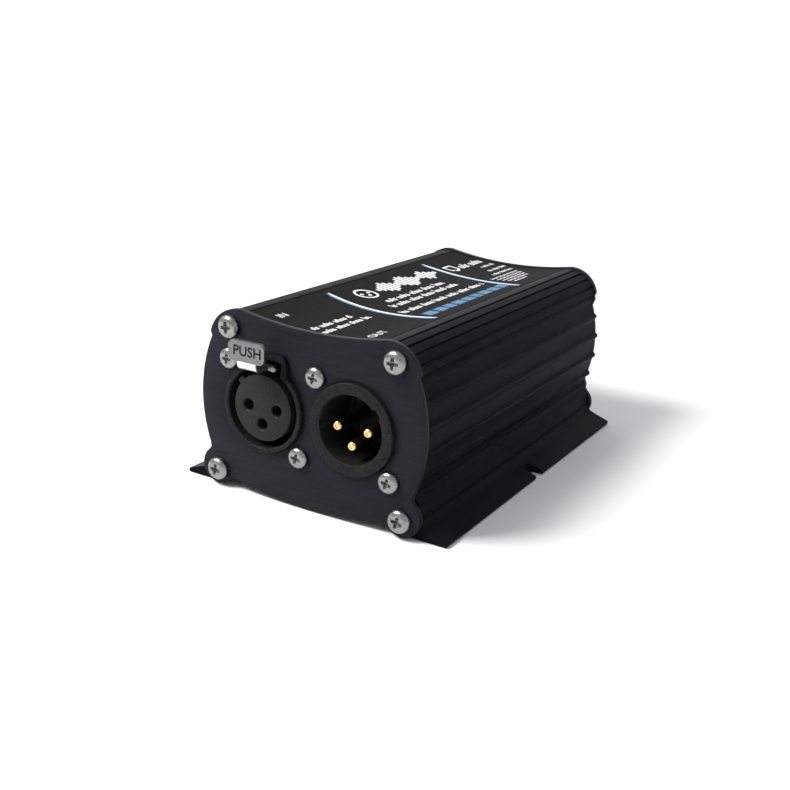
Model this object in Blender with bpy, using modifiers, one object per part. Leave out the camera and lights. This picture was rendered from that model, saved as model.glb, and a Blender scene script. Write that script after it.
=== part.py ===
"""A two-connector professional audio interface box, built the way the real one comes apart on a bench.

The case is one fluted aluminium extrusion with a plate screwed on each end. The front plate (-Y) holds a
female and a male three-pin connector, the rear plate (+Y) a network socket and two status lights. A circuit
board slides in slots inside the case. The release latch of the female connector is the only moving piece.

Constants are in millimetres; the helpers turn them into Blender's metres. Outlines are drawn as (x, z)
points, seen from the front. +X is right, +Y is towards the rear and +Z is up. The origin is at the centre
of the bounding box's bottom.
"""

import math

import bmesh
import bpy
from mathutils import Matrix

MM = 0.001
CLEAR = 0.3  # gap that touching pieces keep

# Case
CASE_LENGTH = 103.0
PLATE_THICKNESS = 1.5
DISH_RADIUS = 105.0
DISH_LOW = 42.8  # height of the dish's lowest line
DISH_HALF = 19.2
SHOULDER_CENTRE = (20.2, 36.5)
SHOULDER_RADIUS = 8.1
SHOULDER_GROOVES = (81.0, 64.0, 46.5, 28.5)  # angles of the fine grooves, in degrees
GROOVE_DEPTH = 0.45
GROOVE_HALF_ANGLE = 2.2
BARREL_CENTRE = (-4.7, 23.5)
BARREL_RADIUS = 35.4
RIDGES = (37.0, 32.0, 26.2, 20.2, 14.3, 10.4)  # heights of the side ridges
RIDGE_HALF = 0.4
FLUTE_DEPTH = 0.6
FLANGE_HALF = 36.8
FLANGE_TIP = 1.0
WALL_RADIUS = 32.9  # inner side wall, about the barrel's centre
ROOF = 40.0
TOP_SCREW = (22.5, 40.6)
BOTTOM_SCREW = (25.6, 4.3)
BOSS_RADIUS = 3.4
SLOT_HALF = 2.1  # mounting slot, half of its width
SLOT_CENTRE = 34.6

# Plates
PLATE_MARGIN = 0.3
REAR_INSET = 1.35  # how far the rear plate's sides lie inside the front plate's
LOBE_CENTRE = (25.9, 4.9)
LOBE_RADIUS = 4.6
BULGE_RADIUS = 105.0
BULGE_LOW = 0.35

# Label
LABEL_HALF = 18.4
LABEL_THICKNESS = 0.3

# Screws: head radius, head height, shank radius, length under the head
CORNER_SCREW = (2.85, 1.6, 1.4, 8.0)
PANEL_SCREW = (2.6, 1.4, 1.0, 5.6)
SCREW_STEPS = 16

# Connectors
CONNECTOR_X = 12.2
CONNECTOR_Z = 22.9
RING_RADIUS = 11.0
RING_PROUD = 1.2
FEMALE_BORE = 9.75
FEMALE_INSERT = 8.1
MALE_BORE = 8.2
SHELL_DEPTH = 17.0
SHELL_OUTER = 10.6  # shell radius behind the panel
CUP_DEPTH = 12.0
HOOD_HALF, HOOD_SIDE = 6.8, 11.5  # hood over the latch: half width, and height of its side corner
HOOD_TOP_HALF, HOOD_TOP = 5.7, 13.3
LATCH_ROOF = 34.9  # top of the latch's slot in the hood
LATCH_SLOT_HALF = 5.2
LATCH_SLOT_END = 11.5
KEY_TURN = 48  # degrees from the top, to the left
WINDOW_TURN = -52
EAR = 10.15  # connector screws sit this far left and up, and right and down
CONTACT_SPREAD = 4.05
PIN_RADIUS = 1.2
SOCKET_RADIUS = 1.4
TAB_REACH = 7.4  # push tab's face, ahead of the front plate
TAB_HALF = 5.05
TAB_LOW, TAB_HIGH = 35.4, 40.2
TAB_THICKNESS = 0.9
TAB_RIM = 2.1  # depth of the tab's folded rims
ARM_HALF = 2.6
ARM_Z = 33.4
ARM_THICKNESS = 0.6
ARM_END = 8.0

# Circuit board
BOARD_HALF = 26.0
BOARD_LOW = 10.2
BOARD_THICKNESS = 1.6
BOARD_TOP = BOARD_LOW + BOARD_THICKNESS
RAIL = 24.6  # the board rails reach in to this distance from the middle
RAIL_THICKNESS = 1.2

# Network socket
JACK_HALF = 7.9
JACK_HEIGHT = 13.2
JACK_DEPTH = 21.0
JACK_WALL = 0.35
JACK_PROUD = 0.2
MOUTH_HALF = 5.95
LIGHT_RADIUS = 1.5
LIGHT_X = 13.5
LIGHT_Z = 15.6

REAR_REACH = CLEAR + CORNER_SCREW[1]
TOTAL_DEPTH = TAB_REACH + 2 * PLATE_THICKNESS + 2 * CLEAR + CASE_LENGTH + REAR_REACH
FRONT = TAB_REACH - TOTAL_DEPTH / 2  # the front plate's outer face
CASE_FRONT = FRONT + PLATE_THICKNESS + CLEAR
CASE_REAR = CASE_FRONT + CASE_LENGTH
REAR = CASE_REAR + CLEAR + PLATE_THICKNESS  # the rear plate's outer face
SEAT = BOARD_TOP + CLEAR

for old in list(bpy.data.objects):
    bpy.data.objects.remove(old)
parts = bpy.data.collections.new("audio_interface_box")
cutters = bpy.data.collections.new("cutters")
for made_collection in (parts, cutters):
    bpy.context.scene.collection.children.link(made_collection)


def principled(name, colour, metallic, roughness):
    material = bpy.data.materials.new(name)
    material.use_nodes = True
    shader = material.node_tree.nodes["Principled BSDF"]
    shader.inputs["Base Color"].default_value = (*colour, 1.0)
    shader.inputs["Metallic"].default_value = metallic
    shader.inputs["Roughness"].default_value = roughness
    return material


ANODISED = principled("black_anodised", (0.02, 0.02, 0.024), 0.6, 0.45)
LABEL = principled("label_print", (0.027, 0.027, 0.027), 0.0, 0.5)
NICKEL = principled("nickel_plate", (0.72, 0.71, 0.69), 1.0, 0.28)
SHELL = principled("shell_plastic", (0.02, 0.02, 0.021), 0.0, 0.6)
INSERT = principled("insert_plastic", (0.03, 0.03, 0.03), 0.0, 0.7)
GOLD = principled("gold_plate", (0.85, 0.62, 0.28), 1.0, 0.25)
SPRING = principled("spring_steel", (0.6, 0.6, 0.6), 1.0, 0.3)
BOARD = principled("board_laminate", (0.01, 0.09, 0.04), 0.0, 0.4)
CHIP = principled("chip_epoxy", (0.02, 0.02, 0.02), 0.0, 0.5)
FERRITE = principled("ferrite", (0.06, 0.06, 0.065), 0.1, 0.6)
SLEEVE = principled("capacitor_sleeve", (0.02, 0.03, 0.08), 0.0, 0.3)
LENS = principled("light_lens", (0.5, 0.8, 0.5), 0.0, 0.1)


# Points of outlines -----------------------------------------------------------------------------------


def arc(centre, radius, start, end, count):
    """count + 1 points on a circle, from one angle to another, in degrees."""
    turns = [math.radians(start + (end - start) * i / count) for i in range(count + 1)]
    return [(centre[0] + radius * math.cos(t), centre[1] + radius * math.sin(t)) for t in turns]


def on_circle(centre, radius, z):
    """The x of the circle's right side at a height."""
    return centre[0] + math.sqrt(radius**2 - (z - centre[1]) ** 2)


def dish(x, low):
    return low + DISH_RADIUS - math.sqrt(DISH_RADIUS**2 - x**2)


def mirrored(half):
    """A closed outline from its right half, which runs from the top centre to the bottom centre."""
    return half + [(-x, z) for x, z in reversed(half) if x > 0]


def grooved_shoulder():
    points = []
    start = 97.0
    for angle in SHOULDER_GROOVES:
        points += arc(SHOULDER_CENTRE, SHOULDER_RADIUS, start, angle + GROOVE_HALF_ANGLE, 2)
        points += arc(SHOULDER_CENTRE, SHOULDER_RADIUS - GROOVE_DEPTH, angle, angle, 1)[:1]
        start = angle - GROOVE_HALF_ANGLE
    return points + arc(SHOULDER_CENTRE, SHOULDER_RADIUS, start, 13.0, 2)


def fluted_side():
    """Ridges on the barrel's circle with a shallow hollow between each two."""
    points = []
    for upper, lower in zip(RIDGES, RIDGES[1:]):
        top, bottom = upper - RIDGE_HALF, lower + RIDGE_HALF
        for step in range(5):
            share = step / 4
            z = top + (bottom - top) * share
            hollow = FLUTE_DEPTH * min(1.0, 2.4 * math.sin(math.pi * share))
            points.append((on_circle(BARREL_CENTRE, BARREL_RADIUS - hollow, z), z))
    return points


def case_outline():
    recess = LABEL_HALF + CLEAR
    drop = LABEL_THICKNESS + CLEAR
    half = [(x, dish(x, DISH_LOW) - drop) for x in (0.0, 4.0, 8.0, 12.0, 15.5, recess)]
    half.append((recess, dish(recess, DISH_LOW)))
    half += grooved_shoulder()
    half += [(27.5, 37.6)]
    half += fluted_side()
    half += [(28.2, 9.7), (29.3, 8.6), (29.5, 5.4), (30.0, 5.1), (30.0, 4.1), (31.4, 2.8)]
    half += [(FLANGE_HALF - 0.3, FLANGE_TIP), (FLANGE_HALF, FLANGE_TIP - 0.3), (FLANGE_HALF, 0.3)]
    half += [(FLANGE_HALF - 0.3, 0.0), (27.0, 0.0), (24.0, 0.9), (19.6, 2.5), (13.0, 1.6)]
    half += [(6.5, 1.0), (0.0, BULGE_LOW + PLATE_MARGIN)]
    return mirrored(half)


def cavity_outline():
    half = [(0.0, ROOF), (17.6, ROOF + 0.45)]
    half += arc(TOP_SCREW, BOSS_RADIUS, 190, 300, 5)
    side_top, side_bottom = 36.0, SEAT + RAIL_THICKNESS
    for step in range(8):
        z = side_top + (side_bottom - side_top) * step / 7
        half.append((on_circle(BARREL_CENTRE, WALL_RADIUS, z), z))
    slot_low = BOARD_LOW - CLEAR
    half += [(RAIL, side_bottom), (RAIL, SEAT), (BOARD_HALF + CLEAR, SEAT)]
    half += [(BOARD_HALF + CLEAR, slot_low), (RAIL, slot_low), (RAIL, slot_low - RAIL_THICKNESS)]
    half += arc(BOTTOM_SCREW, BOSS_RADIUS, 105, 180, 3)
    half += [(19.6, 4.4), (0.0, 2.7)]
    return mirrored(half)


def plate_outline(side_inset=0.0):
    """A plate's outline. The inset draws its sides in, so that the case's ridges show behind it."""
    low = DISH_LOW + PLATE_MARGIN
    centre = (SHOULDER_CENTRE[0], SHOULDER_CENTRE[1] + 0.1)
    half = [(x, dish(x, low)) for x in (0.0, 3.2, 6.4, 9.6, 12.8, 16.0, DISH_HALF)]
    half += arc(centre, SHOULDER_RADIUS + PLATE_MARGIN, 94, 13, 12)
    half += [(28.1, 37.9), (27.95, 37.3)]
    for step in range(13):
        z = 36.7 - 26.3 * step / 12
        inset = side_inset if 0 < step < 12 else 0.0
        half.append((on_circle(BARREL_CENTRE, BARREL_RADIUS + 0.1 - inset, z), z))
    half += [(28.15, 9.6)]
    half += arc(LOBE_CENTRE, LOBE_RADIUS, 52, -138, 14)
    bulge = (0.0, BULGE_LOW + BULGE_RADIUS)
    half += [(x, bulge[1] - math.sqrt(BULGE_RADIUS**2 - x**2)) for x in (19.6, 14.7, 9.8, 4.9, 0.0)]
    return mirrored(half)


def circle(centre, radius, count=16):
    return arc(centre, radius, 0, 360, count)[:-1]


def rectangle(left, right, low, high, cut=0.0):
    """A rectangle's corners, each cut off at 45 degrees when cut is above zero."""
    if not cut:
        return [(left, low), (right, low), (right, high), (left, high)]
    return [
        (left + cut, low), (right - cut, low), (right, low + cut), (right, high - cut),
        (right - cut, high), (left + cut, high), (left, high - cut), (left, low + cut),
    ]


def corner_points():
    return [(sign * x, z) for x, z in (TOP_SCREW, BOTTOM_SCREW) for sign in (-1, 1)]


def connector_points(centre_x):
    return [(centre_x - EAR, CONNECTOR_Z + EAR), (centre_x + EAR, CONNECTOR_Z - EAR)]


# Solids -----------------------------------------------------------------------------------------------


def place(name, mesh, material, helper=False):
    made = bpy.data.objects.new(name, mesh)
    if material and not mesh.materials:
        mesh.materials.append(material)
    (cutters if helper else parts).objects.link(made)
    if helper:
        made.hide_render = True
        made.display_type = "WIRE"
    return made


def as_mesh(source, name, material, helper=False, smooth=False):
    """A plain mesh object with the evaluated shape of another object, which is removed."""
    bpy.context.view_layer.update()
    graph = bpy.context.evaluated_depsgraph_get()
    mesh = bpy.data.meshes.new_from_object(source.evaluated_get(graph))
    mesh.transform(source.matrix_world)
    mesh.materials.clear()
    bm = bmesh.new()
    bm.from_mesh(mesh)
    bmesh.ops.remove_doubles(bm, verts=bm.verts, dist=1e-6)
    bmesh.ops.recalc_face_normals(bm, faces=bm.faces)
    bm.to_mesh(mesh)
    bm.free()
    bpy.data.objects.remove(source)
    if smooth:
        mesh.shade_smooth()
        mesh.set_sharp_from_angle(angle=math.radians(35))
    return place(name, mesh, material, helper)


def extruded(name, outlines, front, rear, material, helper=False):
    """A flat outline with its holes, drawn as (x, z) points, from one y to another."""
    curve = bpy.data.curves.new(name, "CURVE")
    curve.dimensions = "2D"
    curve.fill_mode = "BOTH"
    curve.extrude = (rear - front) / 2 * MM
    for points in outlines:
        spline = curve.splines.new("POLY")
        spline.points.add(len(points) - 1)
        for point, (x, z) in zip(spline.points, points):
            point.co = (x * MM, z * MM, 0.0, 1.0)
        spline.use_cyclic_u = True
    source = bpy.data.objects.new(name + "_outline", curve)
    bpy.context.scene.collection.objects.link(source)
    source.rotation_euler = (math.pi / 2, 0.0, 0.0)
    source.location = (0.0, (front + rear) / 2 * MM, 0.0)
    return as_mesh(source, name, material, helper)


def turned(name, profile, steps, centre, front, material, upward=False, helper=False):
    """A profile of (radius, height) points, top to bottom, turned about -Y, or about Z if upward."""
    mesh = bpy.data.meshes.new(name)
    points = [(radius * MM, 0.0, height * MM) for radius, height in profile]
    mesh.from_pydata(points, [(i, i + 1) for i in range(len(points) - 1)], [])
    source = bpy.data.objects.new(name + "_profile", mesh)
    bpy.context.scene.collection.objects.link(source)
    screw = source.modifiers.new("turn", "SCREW")
    screw.steps = screw.render_steps = steps
    screw.use_merge_vertices = True
    screw.merge_threshold = 0.00001
    if upward:
        source.location = (centre[0] * MM, centre[1] * MM, front * MM)
    else:
        source.rotation_euler = (math.pi / 2, 0.0, 0.0)
        source.location = (centre[0] * MM, front * MM, centre[1] * MM)
    return as_mesh(source, name, material, helper, smooth=True)


def upright(name, outline, low, high):
    """A helper solid from (x, y) points, from one height to another."""
    made = extruded(name, [outline], -high, -low, None, helper=True)
    made.data.transform(Matrix.Rotation(-math.pi / 2, 4, "X"))
    return made


def tube_along(name, points, radius, material, sides=3):
    """A round wire through (x, y, z) points."""
    curve = bpy.data.curves.new(name, "CURVE")
    curve.dimensions = "3D"
    curve.bevel_depth = radius * MM
    curve.bevel_resolution = sides
    curve.use_fill_caps = True
    spline = curve.splines.new("POLY")
    spline.points.add(len(points) - 1)
    for point, place_of in zip(spline.points, points):
        point.co = (*[value * MM for value in place_of], 1.0)
    source = bpy.data.objects.new(name + "_path", curve)
    bpy.context.scene.collection.objects.link(source)
    return as_mesh(source, name, material, smooth=True)


def block(name, low, high, material, bevel=0.0, helper=False):
    """A box between two corners, with its edges bevelled."""
    bpy.ops.mesh.primitive_cube_add(size=1.0)
    source = bpy.context.object
    source.scale = [(b - a) * MM for a, b in zip(low, high)]
    source.location = [(a + b) / 2 * MM for a, b in zip(low, high)]
    made = as_mesh(source, name, material, helper)
    if bevel:
        edge = made.modifiers.new("bevel", "BEVEL")
        edge.width = bevel * MM
        edge.segments = 1
    return made


def combine(target, other, operation):
    step = target.modifiers.new(operation.lower(), "BOOLEAN")
    step.operation = operation
    step.solver = "EXACT"
    step.object = other


# Case -------------------------------------------------------------------------------------------------


def make_case():
    holes = [circle(point, CORNER_SCREW[2] + CLEAR, 12) for point in corner_points()]
    outlines = [case_outline(), cavity_outline(), *holes]
    case = extruded("case_extrusion", outlines, CASE_FRONT, CASE_REAR, ANODISED)
    middle = (CASE_FRONT + CASE_REAR) / 2
    for sign, side in ((-1, "left"), (1, "right")):
        mouth = sign * (FLANGE_HALF + 2)
        outline = arc((SLOT_CENTRE, middle), SLOT_HALF, 90, 270, 8)
        outline = [(sign * x, y) for x, y in outline]
        outline += [(mouth, middle - SLOT_HALF), (mouth, middle + SLOT_HALF)]
        combine(case, upright(f"slot_{side}", outline, -3, 3.4), "DIFFERENCE")


def female_opening():
    """The cut-out for the female shell: a circle with the hood's outline on top."""
    radius = RING_RADIUS + CLEAR
    side = HOOD_HALF + CLEAR
    top_half, top = HOOD_TOP_HALF + CLEAR, HOOD_TOP + CLEAR
    corner = math.degrees(math.acos(side / radius))
    centre = (-CONNECTOR_X, CONNECTOR_Z)
    points = arc(centre, radius, corner, -180 - corner, 30)
    corner_height = HOOD_SIDE + 0.1
    hood = [(-side, corner_height), (-top_half, top), (top_half, top), (side, corner_height)]
    return points + [(centre[0] + x, centre[1] + z) for x, z in hood]


def make_plates():
    corners = [circle(point, CORNER_SCREW[2] + CLEAR, 12) for point in corner_points()]
    ears = [
        circle(point, PANEL_SCREW[2] + CLEAR, 12)
        for centre_x in (-CONNECTOR_X, CONNECTOR_X)
        for point in connector_points(centre_x)
    ]
    ring = circle((CONNECTOR_X, CONNECTOR_Z), RING_RADIUS + CLEAR, 40)
    front = [plate_outline(), *corners, *ears, ring, female_opening()]
    extruded("front_plate", front, FRONT, FRONT + PLATE_THICKNESS, ANODISED)

    jack_side = JACK_HALF + CLEAR
    jack = rectangle(-jack_side, jack_side, SEAT - CLEAR, SEAT + JACK_HEIGHT + CLEAR)
    lights = [circle((sign * LIGHT_X, LIGHT_Z), LIGHT_RADIUS + CLEAR, 12) for sign in (-1, 1)]
    rear = [plate_outline(REAR_INSET), *corners, jack, *lights]
    extruded("rear_plate", rear, REAR - PLATE_THICKNESS, REAR, ANODISED)


def make_label():
    steps = [LABEL_HALF * i / 6 for i in range(-6, 7)]
    upper = [(x, dish(x, DISH_LOW)) for x in steps]
    lower = [(x, z - LABEL_THICKNESS) for x, z in reversed(upper)]
    extruded("top_label", [upper + lower], CASE_FRONT + 0.5, CASE_REAR - 0.5, LABEL)


# Screws -----------------------------------------------------------------------------------------------


def screw_mesh(name, head, height, shank, length):
    """A pan head screw with a cross recess. Its head's underside is at the origin and it points along -Z."""
    profile = [
        (0, height), (0.5 * head, 0.93 * height), (0.82 * head, 0.66 * height), (head, 0.22 * height),
        (0.98 * head, 0), (shank, 0), (shank, -length + 0.7), (0.5 * shank, -length), (0, -length),
    ]
    body = turned(name, profile, SCREW_STEPS, (0, 0), 0.0, NICKEL, upward=True)
    reach, width = 0.52 * head, 0.14 * head
    for turn, (x, y) in enumerate(((reach, width), (width, reach))):
        cross = block(f"{name}_cross_{turn}", (-x, -y, 0.35 * height), (x, y, height + 1), None, helper=True)
        combine(body, cross, "DIFFERENCE")
    return as_mesh(body, name, NICKEL, smooth=True)


def place_screws(name, size, points, face, outward):
    """One screw at each point of a plate. outward is -1 at the front face and 1 at the rear face."""
    pattern = screw_mesh(name + "_pattern", *size)
    for number, (x, z) in enumerate(points, 1):
        screw = place(f"{name}_{number}", pattern.data, NICKEL)
        screw.location = (x * MM, (face + outward * CLEAR) * MM, z * MM)
        screw.rotation_euler = (-outward * math.pi / 2, 0.0, 0.0)
    bpy.data.objects.remove(pattern)


# Connectors -------------------------------------------------------------------------------------------


def panel_flange(name, centre_x, hole_radius, high):
    """The square flange behind the front plate, which the connector's two screws hold."""
    centre = (centre_x, CONNECTOR_Z)
    square = rectangle(centre_x - 11.85, centre_x + 11.85, CONNECTOR_Z - 12.6, high, cut=1.6)
    screws = [circle(point, PANEL_SCREW[2] + CLEAR, 10) for point in connector_points(centre_x)]
    start = FRONT + PLATE_THICKNESS + CLEAR
    outlines = [square, circle(centre, hole_radius, 40), *screws]
    return extruded(name, outlines, start, start + 2.5, None, helper=True)


def bent_lead(name, x, z, front, radius, rear, material):
    """A round contact that runs back through its insert and bends down to the board."""
    end = SEAT + 0.1
    path = [(x, front, z), (x, rear - 0.8, z), (x, rear - 0.2, z - 0.25), (x, rear, z - 0.9), (x, rear, end)]
    return tube_along(name, [(px, FRONT + py, pz) for px, py, pz in path], radius, material)


def contact_points(centre_x):
    return [
        (centre_x - CONTACT_SPREAD, CONNECTOR_Z),
        (centre_x + CONTACT_SPREAD, CONNECTOR_Z),
        (centre_x, CONNECTOR_Z - CONTACT_SPREAD),
    ]


def ring_profile(bore, back_bore):
    """Half-section of a shell: the bore is open at the front and narrows at the back."""
    flange = -(PLATE_THICKNESS + CLEAR)
    return [
        (bore, RING_PROUD - 0.3), (bore + 0.3, RING_PROUD), (RING_RADIUS - 0.3, RING_PROUD),
        (RING_RADIUS, RING_PROUD - 0.3), (RING_RADIUS, flange - 1.0), (SHELL_OUTER, flange - 1.2),
        (SHELL_OUTER, -SHELL_DEPTH), (back_bore, -SHELL_DEPTH), (back_bore, -CUP_DEPTH),
        (bore, -CUP_DEPTH), (bore, RING_PROUD - 0.3),
    ]


def make_female():
    centre = (-CONNECTOR_X, CONNECTOR_Z)
    back_bore = FEMALE_INSERT + CLEAR
    shell = turned("female_shell", ring_profile(FEMALE_BORE, back_bore), 40, centre, FRONT, SHELL)
    flange = panel_flange("female_flange", centre[0], FEMALE_BORE + 0.4, 36.9)
    hood_front = FRONT - RING_PROUD
    half = [(HOOD_HALF, 7.5), (HOOD_HALF, HOOD_SIDE), (HOOD_TOP_HALF, HOOD_TOP)]
    shape = half + [(-x, z) for x, z in reversed(half)]
    shape = [(centre[0] + x, centre[1] + z) for x, z in shape]
    hood = extruded("female_hood", [shape], hood_front + 0.05, FRONT + 13.0, None, helper=True)
    profile = [(0, 5), (FEMALE_BORE, 5), (FEMALE_BORE, -14), (0, -14)]
    bore = turned("female_bore", profile, 40, centre, FRONT, None, helper=True)
    low = (centre[0] - LATCH_SLOT_HALF, FRONT - 5, centre[1] + 5)
    high = (centre[0] + LATCH_SLOT_HALF, FRONT + LATCH_SLOT_END, LATCH_ROOF)
    slot = block("latch_slot", low, high, None, helper=True)
    combine(hood, bore, "DIFFERENCE")
    combine(shell, flange, "UNION")
    combine(shell, hood, "UNION")
    combine(shell, slot, "DIFFERENCE")

    profile = [(0, 1.0), (FEMALE_INSERT - 0.3, 1.0), (FEMALE_INSERT, 0.7)]
    profile += [(FEMALE_INSERT, -SHELL_DEPTH), (0, -SHELL_DEPTH)]
    insert = turned("female_insert", profile, 40, centre, FRONT, INSERT)
    low, high = (-0.9, FRONT - 0.7, FEMALE_INSERT - 0.7), (0.9, FRONT + 9, FEMALE_INSERT + 0.9)
    key = block("female_key", low, high, None, helper=True)
    key.data.transform(key_turn(centre, KEY_TURN))
    combine(insert, key, "UNION")
    for number, (x, z) in enumerate(contact_points(centre[0]), 1):
        hole = [(0, 3), (SOCKET_RADIUS, 3), (SOCKET_RADIUS, -SHELL_DEPTH - 2), (0, -SHELL_DEPTH - 2)]
        passage = turned(f"socket_hole_{number}", hole, 14, (x, z), FRONT, None, helper=True)
        combine(insert, passage, "DIFFERENCE")
        lead = SHELL_DEPTH + 1.6 + 1.3 * (number == 3)
        contact = bent_lead(f"female_contact_{number}", x, z, 2.5, SOCKET_RADIUS - CLEAR, lead, GOLD)
        bore = [(0, 2), (0.75, 2), (0.75, -9), (0, -9)]
        mouth = turned(f"socket_mouth_{number}", bore, 10, (x, z), FRONT, None, helper=True)
        combine(contact, mouth, "DIFFERENCE")


def key_turn(centre, angle):
    """Turns a key from the top of its insert to its place round the connector's axis."""
    move = Matrix.Translation((centre[0] * MM, 0.0, centre[1] * MM))
    return move @ Matrix.Rotation(math.radians(-angle), 4, "Y")


def make_latch():
    """The latch: push tab, neck, arm with its hook, and two side ears, all bent from one sheet."""
    left, right = -CONNECTOR_X - ARM_HALF, -CONNECTOR_X + ARM_HALF
    tab_face = FRONT - TAB_REACH
    tab = rectangle(-CONNECTOR_X - TAB_HALF, -CONNECTOR_X + TAB_HALF, TAB_LOW, TAB_HIGH, cut=1.0)
    latch = extruded("release_latch", [tab], tab_face, tab_face + TAB_THICKNESS, NICKEL)

    rim = TAB_HALF - 1.2
    low = (-CONNECTOR_X - rim, tab_face + 0.2, TAB_HIGH - 0.7)
    high = (-CONNECTOR_X + rim, tab_face + TAB_RIM, TAB_HIGH - 0.1)
    lip = block("latch_lip", low, high, None, helper=True)
    sides = []
    for edge in (-CONNECTOR_X - TAB_HALF + 0.05, -CONNECTOR_X + TAB_HALF - 0.7):
        low, high = (edge, tab_face + 0.2, TAB_LOW + 1.3), (edge + 0.65, tab_face + TAB_RIM, TAB_HIGH - 1.3)
        sides.append(block("latch_side", low, high, None, helper=True))
    bend = 1.6
    corner = (tab_face + TAB_THICKNESS / 2 + bend, ARM_Z + bend)
    path = [(corner[0] - bend, TAB_LOW + 1.2), *arc(corner, bend, 180, 270, 5), (FRONT + ARM_END, ARM_Z)]
    arm = side_extruded("latch_arm", offset_strip(path, ARM_THICKNESS / 2), left, right)
    barb = [(2.4, ARM_Z), (5.4, ARM_Z), (5.0, ARM_Z - 1.4), (4.3, ARM_Z - 1.4)]
    barb = [(FRONT + y, z) for y, z in barb]
    hook = side_extruded("latch_hook", barb, left + 0.8, right - 0.8)
    half = [(4.2, ARM_Z - 0.5), (4.9, ARM_Z + 0.1), (4.0, ARM_Z + 0.75), (2.4, ARM_Z + 0.28)]
    half.append((2.4, ARM_Z - 0.28))
    tongues = [(-CONNECTOR_X + x, z) for x, z in half]
    tongues += [(-CONNECTOR_X - x, z) for x, z in reversed(half)]
    ears = extruded("latch_ears", [tongues], FRONT - 2.6, FRONT - 1.9, None, helper=True)
    for piece in (lip, *sides, arm, hook, ears):
        combine(latch, piece, "UNION")


def offset_strip(path, half):
    """The closed outline of a strip of sheet whose middle line is the path."""
    sides = ([], [])
    for index, (y, z) in enumerate(path):
        before, after = path[max(index - 1, 0)], path[min(index + 1, len(path) - 1)]
        dy, dz = after[0] - before[0], after[1] - before[1]
        size = math.hypot(dy, dz)
        for sign, side in zip((1, -1), sides):
            side.append((y - sign * half * dz / size, z + sign * half * dy / size))
    return sides[0] + sides[1][::-1]


def side_extruded(name, outline, left, right):
    """A helper solid from (y, z) points, from one x to another."""
    made = extruded(name, [outline], -right, -left, None, helper=True)
    made.data.transform(Matrix.Rotation(math.pi / 2, 4, "Z"))
    return made


def make_latch_spring():
    """A small compression coil between the latch's arm and the end of the shell's slot."""
    turns, radius, wire = 3.5, 0.9, 0.18
    start, end = FRONT + ARM_END + CLEAR + wire, FRONT + LATCH_SLOT_END - CLEAR - wire
    count = 36
    points = []
    for step in range(count + 1):
        angle = 2 * math.pi * turns * step / count
        y = start + (end - start) * step / count
        points.append((-CONNECTOR_X + radius * math.cos(angle), y, ARM_Z + radius * math.sin(angle)))
    tube_along("latch_spring", points, wire, SPRING, sides=1)


def make_male():
    centre = (CONNECTOR_X, CONNECTOR_Z)
    shell = turned("male_shell", ring_profile(MALE_BORE, MALE_BORE - 0.6), 40, centre, FRONT, SHELL)
    combine(shell, panel_flange("male_flange", centre[0], MALE_BORE + 1.0, 35.5), "UNION")
    low, high = (-1.2, FRONT - 3, MALE_BORE - 1), (1.2, FRONT + 6, MALE_BORE + 0.7)
    window = block("male_window", low, high, None, helper=True)
    window.data.transform(key_turn(centre, WINDOW_TURN))
    combine(shell, window, "DIFFERENCE")

    radius = MALE_BORE - 0.6 - CLEAR
    face = -CUP_DEPTH - 0.4
    profile = [(0, face), (radius, face), (radius, -SHELL_DEPTH), (0, -SHELL_DEPTH)]
    insert = turned("male_insert", profile, 32, centre, FRONT, INSERT)
    for number, (x, z) in enumerate(contact_points(centre[0]), 1):
        wide = PIN_RADIUS + CLEAR
        hole = [(0, 0), (wide, 0), (wide, -SHELL_DEPTH - 2), (0, -SHELL_DEPTH - 2)]
        passage = turned(f"pin_hole_{number}", hole, 14, (x, z), FRONT, None, helper=True)
        combine(insert, passage, "DIFFERENCE")
        lead = SHELL_DEPTH + 1.6 + 1.3 * (number == 3)
        bent_lead(f"male_pin_{number}", x, z, -0.5, PIN_RADIUS, lead, GOLD)


# Electronics ------------------------------------------------------------------------------------------


def make_jack():
    rear = REAR + JACK_PROUD
    front = rear - JACK_DEPTH
    wall = JACK_WALL
    side = JACK_HALF - wall - CLEAR
    top = SEAT + JACK_HEIGHT - wall - CLEAR
    housing = block("jack_housing", (-side, front + 0.7, SEAT), (side, rear - 0.4, top), SHELL)
    mouth = rectangle(-MOUTH_HALF, MOUTH_HALF, SEAT + 2.6, SEAT + 9.6)
    step = rectangle(-3.1, 3.1, SEAT + 1.2, SEAT + 3.0)
    for name, outline in (("jack_mouth", mouth), ("jack_latch_step", step)):
        cut = extruded(name, [outline], rear - 13.5, rear + 3, None, helper=True)
        combine(housing, cut, "DIFFERENCE")

    top_z = SEAT + JACK_HEIGHT
    outer = [(-JACK_HALF, SEAT), (-JACK_HALF, top_z), (JACK_HALF, top_z), (JACK_HALF, SEAT)]
    inner = [(JACK_HALF - wall, SEAT), (JACK_HALF - wall, top_z - wall), (wall - JACK_HALF, top_z - wall)]
    extruded("jack_shield", [outer + inner + [(wall - JACK_HALF, SEAT)]], front, rear, NICKEL)

    comb = block("jack_contacts", (-4.6, rear - 13.2, SEAT + 8.5), (4.6, rear - 11.9, SEAT + 9.3), GOLD)
    for number in range(8):
        x = (number - 3.5) * 1.02
        low, high = (x - 0.2, rear - 12.5, SEAT + 8.6), (x + 0.2, rear - 5.5, SEAT + 9.1)
        tooth = block(f"jack_tooth_{number}", low, high, None, helper=True)
        combine(comb, tooth, "UNION")


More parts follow.
